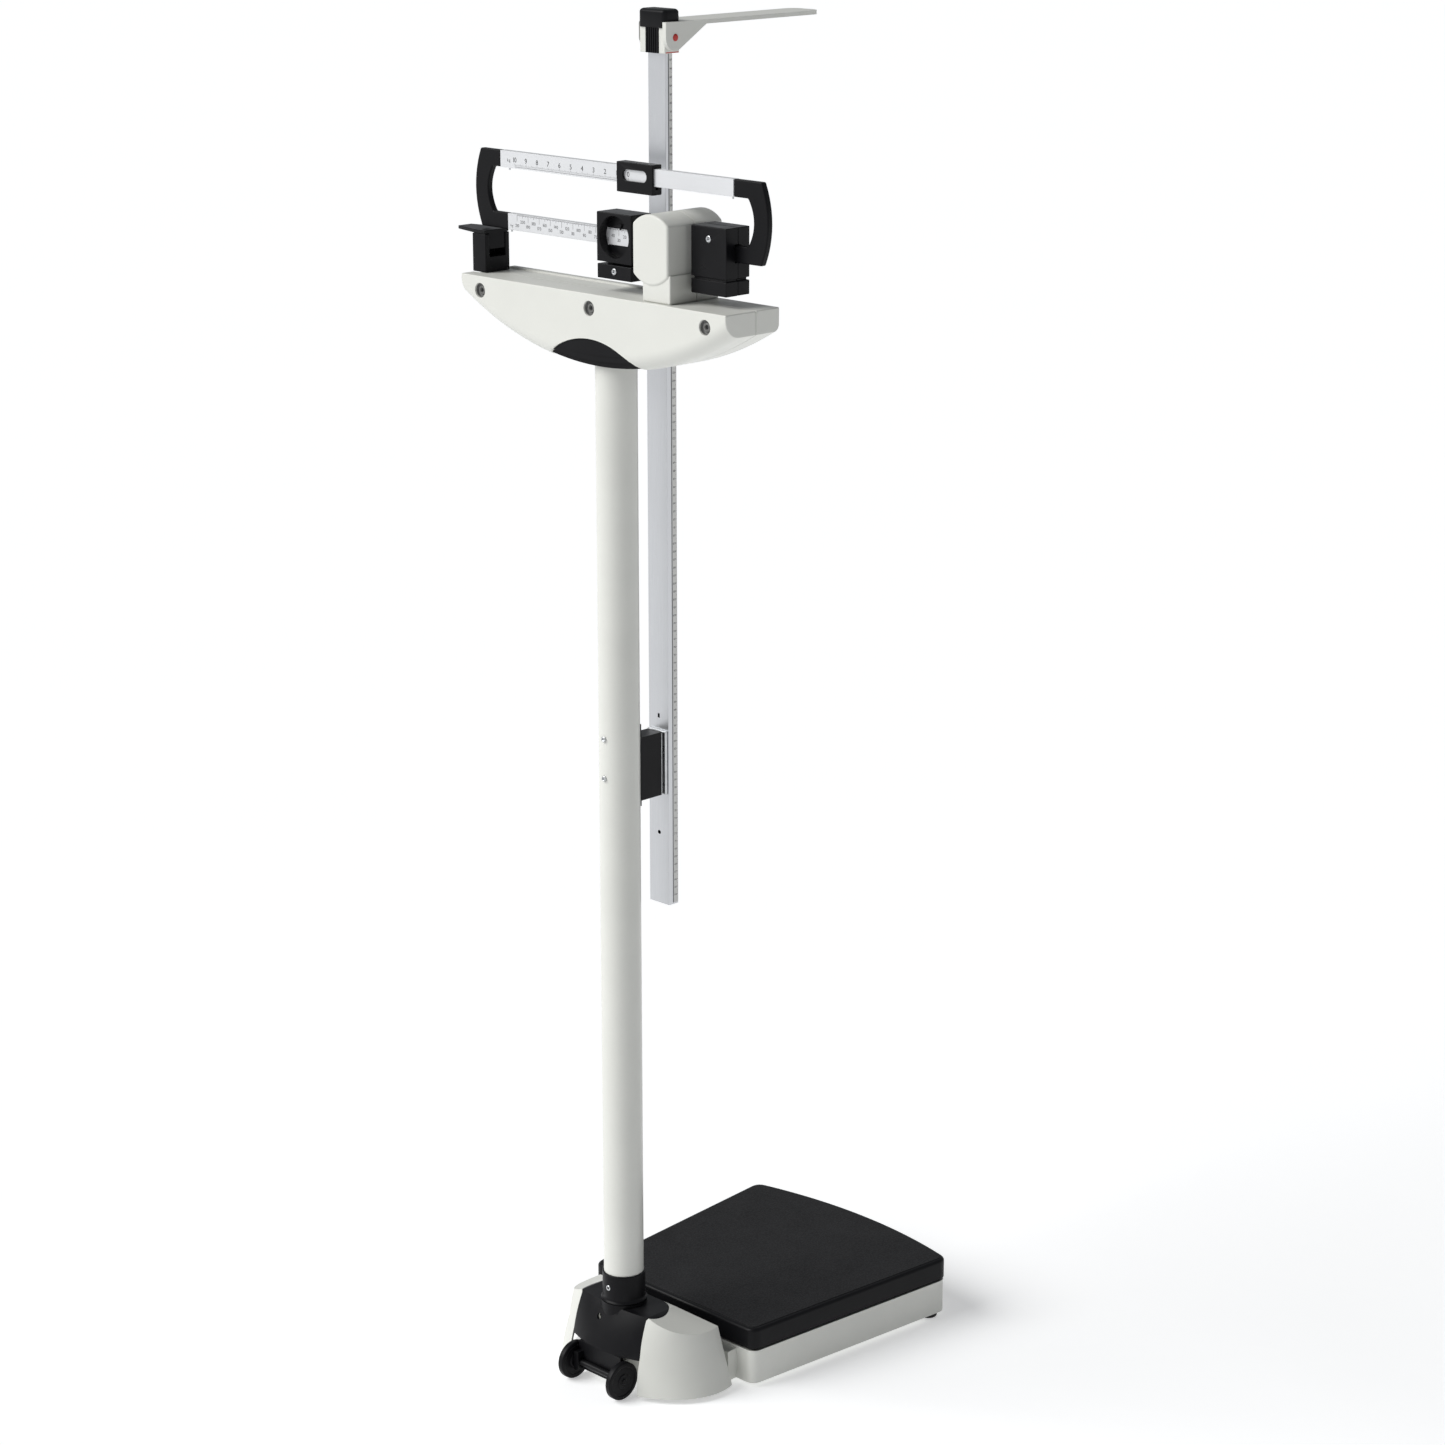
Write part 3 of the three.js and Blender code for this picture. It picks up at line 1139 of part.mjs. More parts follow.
// The small poise: a flat block round the upper beam with a long window.
function smallPoise() {
  const front = BEAM_Y - SMALL_POISE.depth / 2;
  const slotThick = BEAM_THICK + 2 * SLIDE_CLEARANCE;
  const window = prismY(
    roundedRectangle(
      SMALL_POISE.x, SMALL_WINDOW.z, SMALL_WINDOW.width, SMALL_WINDOW.height,
      SMALL_WINDOW.height / 2 - 0.05,
    ),
    front - 1, BEAM_Y,
  );
  return beamBlock(
    SMALL_POISE, UPPER_BEAM_BOTTOM_Z - SLIDE_CLEARANCE, UPPER_BEAM_TOP_Z + SLIDE_CLEARANCE,
    slotThick,
  )
    .subtract(window)
    .subtract(pinChannel(SMALL_POISE, UPPER_BEAM_BOTTOM_Z));
}
addPiece(poises, "small_poise", smallPoise(), blackPlastic());

// ---- draft rod ----

// The draft rod: a stirrup under the main lever's nose, a rod up the column, an arm across,
// and a riser whose two cheeks hang from the load pin.
function draftRod() {
  const rodY = BEAM_Y - 4;
  const elbowZ = carrierBottom + 2;
  const stirrupTop = LEVER_TOP_Z + 1.5;
  const stirrupBottom = LEVER_Z - 0.8;
  const legInner = LEVER_BAR / 2 + 1.2;
  const stirrup = box(
    DRAFT_ROD_X - legInner - 2.5, DRAFT_ROD_X + legInner + 2.5, rodY - 3, rodY + 3,
    stirrupBottom - 3.5, stirrupTop + 4,
  ).subtract(
    box(
      DRAFT_ROD_X - legInner, DRAFT_ROD_X + legInner, rodY - 4, rodY + 4, stirrupBottom, stirrupTop,
    ),
  );
  const arm = box(
    DRAFT_ROD_X - DRAFT_ROD_R, loadKnifeX + 4, BEAM_Y - 3, BEAM_Y + 3, elbowZ, elbowZ + 6,
  );
  const bridgeTop = LOWER_BEAM_BOTTOM_Z - 8;
  const riser = box(loadKnifeX - 4, loadKnifeX + 4, BEAM_Y - 3, BEAM_Y + 3, elbowZ, bridgeTop);
  const cheekInner = BEAM_THICK / 2 + 2;
  const cheekOuter = cheekInner + 3;
  const loop = box(
    loadKnifeX - 6, loadKnifeX + 6, BEAM_Y - cheekOuter, BEAM_Y + cheekOuter,
    bridgeTop - 4, TOWER_Z + 7.5,
  )
    .subtract(
      box(loadKnifeX - 7, loadKnifeX + 7, BEAM_Y - cheekInner, BEAM_Y + cheekInner, bridgeTop, 1600),
    )
    .subtract(
      cylinderY(LOAD_PIN_R + 2 * GAP, -100, 100, loadKnifeX, TOWER_Z - GAP, 24),
    );
  return cylinderZ(DRAFT_ROD_R, stirrupTop + 3, elbowZ + 6, DRAFT_ROD_X, rodY, 16)
    .add(stirrup)
    .add(arm)
    .add(riser)
    .add(loop);
}
addPiece(beam, "draft_rod", draftRod(), steel());

// ---- height rod ----
const heightRod = new THREE.Group();
scale.add(heightRod);

// A rectangular tube standing up, open at both ends.
function rodTube({ halfWidth, halfDepth, bottom, top, wall }) {
  return box(-halfWidth, halfWidth, ROD_Y - halfDepth, ROD_Y + halfDepth, bottom, top).subtract(
    box(
      -halfWidth + wall, halfWidth - wall,
      ROD_Y - halfDepth + wall, ROD_Y + halfDepth - wall, bottom - 1, top + 1,
    ),
  );
}
const rodFront = ROD_Y - OUTER_ROD.halfDepth;
const outerRod = rodTube(OUTER_ROD)
  .subtract(cylinderY(ROD_STOP_HOLE_R, rodFront - 1, rodFront + 3, 0, 720.5, 20))
  .subtract(box(-1.7, 1.7, rodFront - 1, rodFront + 3, 868.6, 874.2));
addPiece(heightRod, "outer_rod", outerRod, satinAluminium());
addPiece(heightRod, "inner_rod", rodTube(INNER_ROD), satinAluminium());

const capBottom = INNER_ROD.top + GAP;
const rodCap = prismX(
  roundedRectangle(
    (ROD_CAP.front + ROD_CAP.rear) / 2, capBottom + ROD_CAP.thick / 2,
    ROD_CAP.rear - ROD_CAP.front, ROD_CAP.thick, 2.5,
  ),
  -ROD_CAP.halfWidth, ROD_CAP.halfWidth, 3,
).add(
  box(
    -INNER_ROD.halfWidth + INNER_ROD.wall + GAP, INNER_ROD.halfWidth - INNER_ROD.wall - GAP,
    ROD_Y - INNER_ROD.halfDepth + INNER_ROD.wall + GAP,
    ROD_Y + INNER_ROD.halfDepth - INNER_ROD.wall - GAP, capBottom - 14, capBottom + 1,
  ),
);
addPiece(heightRod, "rod_cap", rodCap, blackPlastic());

// The bracket: a black block between column and rod, with a saddle that follows the column.
function rodBracket() {
  const { halfWidth, bottom, top, rear } = BRACKET;
  let block = box(-halfWidth, halfWidth, COLUMN_R * 0.8, rear, bottom, top)
    .add(box(-9, 9, COLUMN_R * 0.9, COLUMN_R + 3.2, bottom - 8, BRACKET_SCREW_Z[1] + 10))
    .subtract(cylinderZ(COLUMN_R + GAP, 500, 1200, 0, 0, 48));
  for (const z of BRACKET_SCREW_Z)
    block = block.subtract(cylinderY(BRACKET_SCREW_SHANK_R + GAP, 0, COLUMN_R + 12, 0, z, 16));
  return block;
}
addPiece(heightRod, "rod_bracket", rodBracket(), blackPlastic());

const rodPlate = box(
  -ROD_PLATE.halfWidth, ROD_PLATE.halfWidth, ROD_PLATE.front, ROD_PLATE.rear,
  BRACKET.bottom, BRACKET.top,
).add(
  box(
    -BRACKET.halfWidth + 2, BRACKET.halfWidth - 2, BRACKET.rear + GAP, ROD_PLATE.front + 1,
    BRACKET.bottom + 2, BRACKET.top - 2,
  ),
);
addPiece(heightRod, "rod_plate", rodPlate, steel());

// A bracket screw about its seat on the column's front, running back through the column.
function bracketScrew() {
  const shankEnd = 2 * COLUMN_R + 9;
  return cylinderY(BRACKET_SCREW_R, -2.2, -0.2, 0, 0, 24)
    .add(cylinderY(BRACKET_SCREW_SHANK_R, -0.3, shankEnd, 0, 0, 16))
    .subtract(cylinderY(1.6, -4, -1, 0, 0, 6));
}
BRACKET_SCREW_Z.forEach((z, i) => {
  addPiece(heightRod, "bracket_screw_" + (i + 1), bracketScrew(), steel(), [0, -COLUMN_R - 0.1, z]);
});

// ---- head slide ----
const headSlideGroup = new THREE.Group();
scale.add(headSlideGroup);

// The slide: a square collar that clears the outer rod, with a channel on its front.
function headSlide() {
  const clear = 0.5;
  return box(
    -SLIDE_HALF_WIDTH, SLIDE_HALF_WIDTH, SLIDE_FRONT_Y, SLIDE_REAR_Y, SLIDE_BOTTOM_Z, SLIDE_TOP_Z,
  )
    .subtract(
      box(
        -OUTER_ROD.halfWidth - clear, OUTER_ROD.halfWidth + clear,
        ROD_Y - OUTER_ROD.halfDepth - clear, ROD_Y + OUTER_ROD.halfDepth + clear,
        SLIDE_BOTTOM_Z - 1, SLIDE_TOP_Z + 1,
      ),
    )
    .subtract(
      box(
        -INSERT_HALF_WIDTH - GAP, INSERT_HALF_WIDTH + GAP, SLIDE_FRONT_Y - 1, SLIDE_FRONT_Y + 2,
        SLIDE_BOTTOM_Z - 1, SLIDE_TOP_Z + 1,
      ),
    );
}
addPiece(headSlideGroup, "head_slide", headSlide(), ivoryPlastic());

// The grip insert: a ribbed black strip in the slide's front channel.
function slideInsert() {
  let strip = box(
    -INSERT_HALF_WIDTH, INSERT_HALF_WIDTH, SLIDE_FRONT_Y - INSERT_PROUD, SLIDE_FRONT_Y + 1.7,
    SLIDE_BOTTOM_Z, SLIDE_TOP_Z,
  );
  const ribs = 6;
  const pitch = (2 * INSERT_HALF_WIDTH) / ribs;
  for (let rib = 1; rib < ribs; rib++) {
    const x = -INSERT_HALF_WIDTH + rib * pitch;
    strip = strip.subtract(
      box(
        x - pitch / 4, x + pitch / 4, SLIDE_FRONT_Y - INSERT_PROUD - 1, SLIDE_FRONT_Y - 0.2,
        SLIDE_BOTTOM_Z - 1, SLIDE_TOP_Z + 1,
      ),
    );
  }
  return strip;
}
addPiece(headSlideGroup, "slide_insert", slideInsert(), blackPlastic());

// The thumb latch: a tapered tongue beside the slide, hinged at its top.
const thumbLatch = prismY(
  polygon([
    [-SLIDE_HALF_WIDTH - GAP, LATCH_TOP_Z],
    [LATCH_OUTER_X + 1.5, LATCH_TOP_Z],
    [LATCH_OUTER_X, LATCH_TOP_Z - 2.5],
    [LATCH_OUTER_X, LATCH_BOTTOM_Z + 8],
    [-SLIDE_HALF_WIDTH - 3.6, LATCH_BOTTOM_Z],
    [-SLIDE_HALF_WIDTH - 2.9, LATCH_BOTTOM_Z],
  ]),
  ROD_Y - LATCH_HALF_DEPTH, ROD_Y + LATCH_HALF_DEPTH,
);
addPiece(headSlideGroup, "thumb_latch", thumbLatch, greyPlastic());

// The arm: a flat plate, level over the head, with a knuckle beside the slide.
function measuringArm() {
  const inner = SLIDE_HALF_WIDTH + GAP;
  const outer = inner + KNUCKLE_THICK;
  const plateTop = ARM_PLATE_BOTTOM_Z + ARM_PLATE_THICK;
  const tip = 14;
  const plan = new THREE.Shape();
  plan.moveTo(-SLIDE_HALF_WIDTH, ARM_START_Y);
  plan.lineTo(outer, ARM_START_Y);
  plan.lineTo(outer, ARM_TIP_Y - tip);
  plan.absarc(outer - tip, ARM_TIP_Y - tip, tip, 0, Math.PI / 2);
  plan.absarc(-SLIDE_HALF_WIDTH + tip, ARM_TIP_Y - tip, tip, Math.PI / 2, Math.PI);
  const plate = prismZ(plan, ARM_PLATE_BOTTOM_Z, plateTop, 8);
  const knuckleDisc = cylinderX(KNUCKLE_R, inner, outer, ARM_PIVOT_Y, ARM_PIVOT_Z, 40);
  const web = prismX(
    polygon([
      [ARM_PIVOT_Y - KNUCKLE_R, ARM_PIVOT_Z],
      [ARM_PIVOT_Y, ARM_PIVOT_Z - KNUCKLE_R],
      [ARM_PIVOT_Y + KNUCKLE_R * 0.6, ARM_PIVOT_Z - KNUCKLE_R * 0.8],
      [ARM_START_Y + 38, ARM_PLATE_BOTTOM_Z + 0.5],
      [ARM_START_Y + 38, plateTop],
      [ARM_PIVOT_Y - KNUCKLE_R, plateTop],
    ]),
    inner, outer,
  );
  return plate
    .add(knuckleDisc)
    .add(web)
    .subtract(
      cylinderX(ARM_PIN_R + RUNNING_GAP, inner - 1, outer + 1, ARM_PIVOT_Y, ARM_PIVOT_Z, 24),
    );
}
addPiece(headSlideGroup, "measuring_arm", measuringArm(), ivoryPlastic());

const armPin = cylinderX(
  ARM_PIN_R, SLIDE_HALF_WIDTH + GAP, SLIDE_HALF_WIDTH + GAP + KNUCKLE_THICK + 1,
  ARM_PIVOT_Y, ARM_PIVOT_Z, 24,
);
addPiece(headSlideGroup, "arm_pin", armPin, redPlastic());

// The frame's origin is on the floor, under the middle of the whole object.
const lowX = LOCK_TIP_X;
const highX = BOW_OUTER_X;
const lowY = WHEEL_Y - WHEEL_R;
const highY = PLATFORM_FAR_Y;
scale.position.set(-(lowX + highX) / 2, -(lowY + highY) / 2, 0);

export default scale;
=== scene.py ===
import json
import math

import bmesh
import bpy
import numpy as np
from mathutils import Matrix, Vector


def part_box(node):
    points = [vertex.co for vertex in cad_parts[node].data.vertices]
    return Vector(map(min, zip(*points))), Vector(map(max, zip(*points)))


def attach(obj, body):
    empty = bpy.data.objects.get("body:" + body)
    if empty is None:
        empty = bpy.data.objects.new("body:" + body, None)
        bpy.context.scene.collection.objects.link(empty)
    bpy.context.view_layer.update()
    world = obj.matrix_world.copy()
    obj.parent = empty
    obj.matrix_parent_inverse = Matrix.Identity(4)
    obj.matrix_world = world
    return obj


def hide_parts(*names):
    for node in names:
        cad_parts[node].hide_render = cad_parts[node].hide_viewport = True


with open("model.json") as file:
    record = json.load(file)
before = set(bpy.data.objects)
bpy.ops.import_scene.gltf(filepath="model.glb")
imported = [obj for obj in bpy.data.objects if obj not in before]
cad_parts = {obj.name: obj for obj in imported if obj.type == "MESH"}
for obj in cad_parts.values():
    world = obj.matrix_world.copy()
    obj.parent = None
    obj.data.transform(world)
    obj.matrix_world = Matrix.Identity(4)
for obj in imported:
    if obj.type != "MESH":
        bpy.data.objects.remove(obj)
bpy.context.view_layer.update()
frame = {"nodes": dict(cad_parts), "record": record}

# Lengths are millimetres from the column's axis on the floor, as on the scale's drawing.
# metres() puts them in the frame, and corners() reads a node's size back from it.
MM = 0.001
column_low, column_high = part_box("column")
AXIS = np.array([(column_low.x + column_high.x) / 2, (column_low.y + column_high.y) / 2, 0.0])

slot_of = {part["node"]: part["material_slot"] for part in frame["record"]["subparts"]}
body_of = {
    node: body
    for body, members in frame["record"]["behaviour"]["bodies"].items()
    for node in members
}


def metres(points):
    """Millimetres from the column's axis, as metres in the frame."""
    return np.asarray(points, float) * MM + AXIS


def corners(node):
    """A node's lowest and highest corners, in millimetres from the column's axis."""
    low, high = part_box(node)
    return (np.array(low) - AXIS) / MM, (np.array(high) - AXIS) / MM


def seen_from(node, axis):
    """The middle of a node on the plane across an axis: (x, y), (x, z) or (y, z) for z, y and x."""
    low, high = corners(node)
    return np.delete((low + high) / 2, "xyz".index(axis))


# ---- materials ----


class Nodes:
    """A material's node tree, with short ways to add and join its nodes."""

    def __init__(self, name):
        self.material = bpy.data.materials.new(name)
        self.material.use_nodes = True
        self.tree = self.material.node_tree
        self.shader = self.tree.nodes["Principled BSDF"]
        self.coordinates = self.add("ShaderNodeTexCoord")

    def add(self, kind, **settings):
        """A new node with the settings given."""
        node = self.tree.nodes.new(kind)
        for key, value in settings.items():
            setattr(node, key, value)
        return node

    def join(self, output, target):
        """A link from one node's output to another's input."""
        self.tree.links.new(output, target)

    def noise(self, size, detail=3.0, roughness=0.55, stretch=(1, 1, 1)):
        """Noise whose grains are about size millimetres, longer where stretch is larger."""
        mapping = self.add("ShaderNodeMapping")
        mapping.inputs["Scale"].default_value = [1 / value for value in stretch]
        self.join(self.coordinates.outputs["Object"], mapping.inputs["Vector"])
        noise = self.add("ShaderNodeTexNoise")
        noise.inputs["Scale"].default_value = 1 / (size * MM)
        noise.inputs["Detail"].default_value = detail
        noise.inputs["Roughness"].default_value = roughness
        self.join(mapping.outputs["Vector"], noise.inputs["Vector"])
        return noise.outputs["Fac"]

    def between(self, value, low, high, start=0.3, end=0.7):
        """A value from start to end, spread over low to high."""
        spread = self.add("ShaderNodeMapRange")
        spread.inputs["From Min"].default_value = start
        spread.inputs["From Max"].default_value = end
        spread.inputs["To Min"].default_value = low
        spread.inputs["To Max"].default_value = high
        self.join(value, spread.inputs["Value"])
        return spread.outputs["Result"]

    def mix(self, factor, first, second):
        """A colour between two, by a factor. Either colour may be another node's output."""
        blend = self.add("ShaderNodeMix", data_type="RGBA")
        self.join(factor, blend.inputs["Factor"])
        for socket, colour in (("A", first), ("B", second)):
            target = next(s for s in blend.inputs if s.name == socket and s.type == "RGBA")
            if isinstance(colour, tuple):
                target.default_value = (*colour, 1)
            else:
                self.join(colour, target)
        return next(s for s in blend.outputs if s.type == "RGBA")

    def relief(self, height, depth, strength=1.0, under=None):
        """Bump of the given depth in millimetres, on top of another bump if one is given."""
        bump = self.add("ShaderNodeBump")
        bump.inputs["Distance"].default_value = depth * MM
        bump.inputs["Strength"].default_value = strength
        self.join(height, bump.inputs["Height"])
        if under is not None:
            self.join(under, bump.inputs["Normal"])
        return bump.outputs["Normal"]


def shade(colour, share):
    """A colour made lighter or darker."""
    return tuple(channel * share for channel in colour)


def finish(name, colour, roughness, metallic=0.0, cloud=0.04, cloud_size=60, grain=0.6,
           grain_depth=0.02, gloss_spread=0.06, wear_and_sheen=0.0, coat=0.0, specular=0.5):
    """A moulded, painted or cast finish: a slow cloud in the colour, a finer one in the gloss, a
    grain in the relief and paler edges, partly wear and partly a painted highlight."""
    nodes = Nodes(name)
    shader = nodes.shader
    tone = nodes.between(nodes.noise(cloud_size), 0, 1)
    base = nodes.mix(tone, shade(colour, 1 - cloud), shade(colour, 1 + cloud))
    fleck = nodes.between(nodes.noise(grain * 2.5, detail=2), 0, 0.35, 0.5, 0.75)
    base = nodes.mix(fleck, base, shade(colour, 1 - 2 * cloud))
    # paler convex edges: partly wear, partly a painted highlight
    if wear_and_sheen:
        edge = nodes.add("ShaderNodeNewGeometry").outputs["Pointiness"]
        worn_and_lit = nodes.between(edge, 0, wear_and_sheen, 0.53, 0.62)
        base = nodes.mix(worn_and_lit, base, tuple(min(1, c * 2 + 0.05) for c in colour))
    nodes.join(base, shader.inputs["Base Color"])
    smear = nodes.noise(18, detail=4, roughness=0.6)
    gloss = nodes.between(smear, roughness - gloss_spread, roughness + gloss_spread)
    nodes.join(gloss, shader.inputs["Roughness"])
    wave = nodes.relief(nodes.noise(35, detail=1), 0.12, 0.25)
    nodes.join(nodes.relief(nodes.noise(grain), grain_depth, 0.6, wave), shader.inputs["Normal"])
    shader.inputs["Metallic"].default_value = metallic
    shader.inputs["Coat Weight"].default_value = coat
    shader.inputs["Coat Roughness"].default_value = 0.2
    shader.inputs["Specular IOR Level"].default_value = specular
    return nodes.material


def brushed(name, colour, roughness, along, metallic=1.0, streak=0.12, depth=0.01):
    """Brushed metal: hair lines along one axis in the colour, the gloss and the relief."""
    nodes = Nodes(name)
    shader = nodes.shader
    stretch = [0.35, 0.35, 0.35]
    stretch["xyz".index(along)] = 60
    hair = nodes.noise(1.0, detail=3, roughness=0.7, stretch=stretch)
    line = nodes.between(hair, 0, 1)
    base = nodes.mix(line, shade(colour, 1 - streak), shade(colour, 1 + streak / 2))
    haze = nodes.between(nodes.noise(90), 0, 0.5)
    base = nodes.mix(haze, base, shade(colour, 0.93))
    nodes.join(base, shader.inputs["Base Color"])
    nodes.join(nodes.between(hair, roughness - 0.07, roughness + 0.09), shader.inputs["Roughness"])
    nodes.join(nodes.relief(hair, depth, 0.5), shader.inputs["Normal"])
    shader.inputs["Metallic"].default_value = metallic
    return nodes.material


def rubber_mat(name, colour):
    """Pebbled rubber: close round cells in the relief, with painted shade between them, lighter tops
    and patches of dust.
    """
    nodes = Nodes(name)
    shader = nodes.shader
    cells = nodes.add("ShaderNodeTexVoronoi")
    cells.inputs["Scale"].default_value = 1 / (2.2 * MM)
    nodes.join(nodes.coordinates.outputs["Object"], cells.inputs["Vector"])
    pebble = nodes.between(cells.outputs["Distance"], 1, 0, 0, 0.7)
    dust = nodes.between(nodes.noise(45, detail=5), 0, 0.5)
    # painted shade: darker between the cells, lighter on their tops
    base = nodes.mix(pebble, shade(colour, 0.75), shade(colour, 1.2))
    base = nodes.mix(dust, base, tuple(c * 1.35 + 0.004 for c in colour))
    nodes.join(base, shader.inputs["Base Color"])
    nodes.join(nodes.between(pebble, 0.78, 0.6, 0, 1), shader.inputs["Roughness"])
    fine = nodes.relief(nodes.noise(0.5), 0.03, 0.5)
    nodes.join(nodes.relief(pebble, 0.25, 0.8, fine), shader.inputs["Normal"])
    shader.inputs["Specular IOR Level"].default_value = 0.22
    return nodes.material


IVORY = (0.70, 0.705, 0.665)
BLACK = (0.0052, 0.0052, 0.0062)

materials = {
    "ivory_plastic": finish("ivory_plastic", IVORY, 0.42, cloud=0.015, grain=0.5, grain_depth=0.008),
    "ivory_paint": finish("ivory_paint", IVORY, 0.34, cloud=0.02, grain=1.6, grain_depth=0.015,
                          coat=0.2),
    "black_plastic": finish("black_plastic", BLACK, 0.38, cloud=0.12, grain=0.45, grain_depth=0.025,
                            wear_and_sheen=0.08, specular=0.12),
    "black_iron": finish("black_iron", BLACK, 0.33, cloud=0.1, grain=0.8, grain_depth=0.04,
                         wear_and_sheen=0.1, specular=0.13),
    "mat_rubber": rubber_mat("mat_rubber", (0.0135, 0.0135, 0.0145)),
    "foot_rubber": finish("foot_rubber", (0.012, 0.012, 0.012), 0.75, cloud=0.2, grain=0.4,
                          grain_depth=0.05, specular=0.3),
    "aluminium": brushed("aluminium", (0.62, 0.63, 0.65), 0.33, "z"),
    "white_scale": brushed("white_scale", (0.72, 0.73, 0.75), 0.36, "x", metallic=0.15, streak=0.04),
    "steel": finish("steel", (0.55, 0.56, 0.57), 0.3, metallic=1.0, cloud=0.08, cloud_size=8, grain=0.4,
                    grain_depth=0.01),
    "lever_iron": finish("lever_iron", (0.10, 0.10, 0.105), 0.6, metallic=0.6, cloud=0.2, grain=1.2,
                         grain_depth=0.12),
    "grey_plastic": finish("grey_plastic", (0.22, 0.22, 0.21), 0.5, cloud=0.06, grain=0.5),
    "red_plastic": finish("red_plastic", (0.52, 0.02, 0.012), 0.35, cloud=0.08, cloud_size=6, grain=0.4,
                          grain_depth=0.01),
}
# black print on the beams and rods, also the painted shade of the rods' grooves
print_and_groove_shade = finish("print_and_groove_shade", (0.012, 0.012, 0.014), 0.5, cloud=0.3, cloud_size=3, grain=0.3)
red_ink = finish("red_ink", (0.5, 0.015, 0.01), 0.45, cloud=0.12, cloud_size=3, grain=0.3)
pale_label = finish("pale_label", (0.72, 0.72, 0.70), 0.5, cloud=0.03, cloud_size=20, grain=0.4,
                    grain_depth=0.004)
# painted shade: a dark finish for discs set at the ends of holes and sockets
painted_hole_shade = finish("painted_hole_shade", (0.03, 0.03, 0.032), 0.45, cloud=0.2, cloud_size=3, grain=0.4)
screw_grey = finish("screw_grey", (0.15, 0.15, 0.145), 0.4, cloud=0.2, cloud_size=3, grain=0.4)
cup_grey = finish("cup_grey", (0.22, 0.22, 0.215), 0.5, cloud=0.08, cloud_size=5, grain=0.4)


# ---- surfaces ----


def make_piece(name, points, faces, smooth_angle=35):
    """A mesh from points in millimetres, its doubles merged, its faces turned outwards, smooth where
    neighbouring faces meet within the angle."""
    mesh = bpy.data.meshes.new(name)
    mesh.from_pydata(metres(points).tolist(), [], faces)
    settle(mesh, smooth_angle)
    piece = bpy.data.objects.new(name, mesh)
    bpy.context.scene.collection.objects.link(piece)
    return piece


def settle(mesh, smooth_angle, flatten=False):
    """Merges doubles, joins faces that lie in one plane if asked, and marks the sharp edges."""
    work = bmesh.new()
    work.from_mesh(mesh)
    bmesh.ops.remove_doubles(work, verts=work.verts, dist=2e-6)
    if flatten:
        bmesh.ops.dissolve_limit(
            work, angle_limit=math.radians(0.4), verts=work.verts, edges=work.edges
        )
    bmesh.ops.recalc_face_normals(work, faces=work.faces)
    limit = math.radians(smooth_angle)
    for edge in work.edges:
        edge.smooth = len(edge.link_faces) == 2 and edge.calc_face_angle() < limit
    for face in work.faces:
        face.smooth = True
    work.to_mesh(mesh)
    work.free()
    mesh.update()


def place(piece, body, slot, material=None, nodes=()):
    """Rides a piece on its body, gives it its finish, and hides the nodes that it stands for."""
    piece.data.materials.clear()
    piece.data.materials.append(material or materials[slot])
    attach(piece, body)
    if nodes:
        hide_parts(*nodes)
    return piece


def stand_for(piece, node, material=None):
    """Gives a piece the body and the finish of the node that it replaces."""
    return place(piece, body_of[node], slot_of[node], material, (node,))


def loft(name, rings, looped=False, smooth_angle=35):
    """Rings of points joined by quads, point j of ring i to point j of ring i + 1. A looped loft's
    last ring meets its first; any other is closed by a flat face at each end."""
    rings = np.asarray(rings, float)
    count, sides = rings.shape[:2]
    here = np.arange(count * sides).reshape(count, sides)
    there = np.roll(here, -1, axis=0)
    if not looped:
        here, there = here[:-1], there[:-1]
    quads = np.stack(
        [here, np.roll(here, -1, axis=1), np.roll(there, -1, axis=1), there], axis=-1
    )
    faces = quads.reshape(-1, 4).tolist()
    if not looped:
        faces.append(here[0, ::-1].tolist())
        faces.append(there[-1].tolist())
    return make_piece(name, rings.reshape(-1, 3), faces, smooth_angle)


def turned(name, profile, axis="z", centre=(0, 0), sides=64, looped=False, smooth_angle=35):
    """A profile of (radius, height) pairs carried round an axis: each pair makes a circle of that
    radius at that height."""
    profile = np.asarray(profile, float)
    angle = np.linspace(0, 2 * math.pi, sides, endpoint=False)
    across = profile[:, :1] * np.cos(angle) + centre[0]
    up = profile[:, :1] * np.sin(angle) + centre[1]
    height = np.repeat(profile[:, 1:], sides, axis=1)
    order = {"z": (across, up, height), "y": (across, height, up), "x": (height, across, up)}
    return loft(name, np.stack(order[axis], axis=-1), looped, smooth_angle)


def arc(centre, radius, start, end, steps=8):
    """Points on a circle from one angle to another, in degrees."""
    angle = np.radians(np.linspace(start, end, steps + 1))
    return np.stack(
        [centre[0] + radius * np.cos(angle), centre[1] + radius * np.sin(angle)], axis=-1
    )


def rounded_outline(points, radii, steps=8):
    """A polygon whose corners are arcs that meet both of their sides at a tangent."""
    points = np.asarray(points, float)
    radii = np.broadcast_to(radii, len(points))
    pieces = []
    for i, radius in enumerate(radii):
        corner = points[i]
        back = points[i - 1] - corner
        ahead = points[(i + 1) % len(points)] - corner
        back /= np.linalg.norm(back)
        ahead /= np.linalg.norm(ahead)
        half = math.acos(np.clip(back @ ahead, -1, 1)) / 2
        reach = radius / math.tan(half)
        middle = corner + (back + ahead) / np.linalg.norm(back + ahead) * radius / math.sin(half)
        first = corner + back * reach - middle
        last = corner + ahead * reach - middle
        turn = np.linspace(0, 1, steps + 1)[:, None]
        spread = math.pi - 2 * half
        weight = (np.sin((1 - turn) * spread) * first + np.sin(turn * spread) * last)
        pieces.append(middle + weight / math.sin(spread))
    return np.concatenate(pieces)


def rectangle(u0, u1, v0, v1, radius, steps=8):
    """A rectangle with round corners, anticlockwise."""
    return rounded_outline([(u0, v0), (u1, v0), (u1, v1), (u0, v1)], radius, steps)


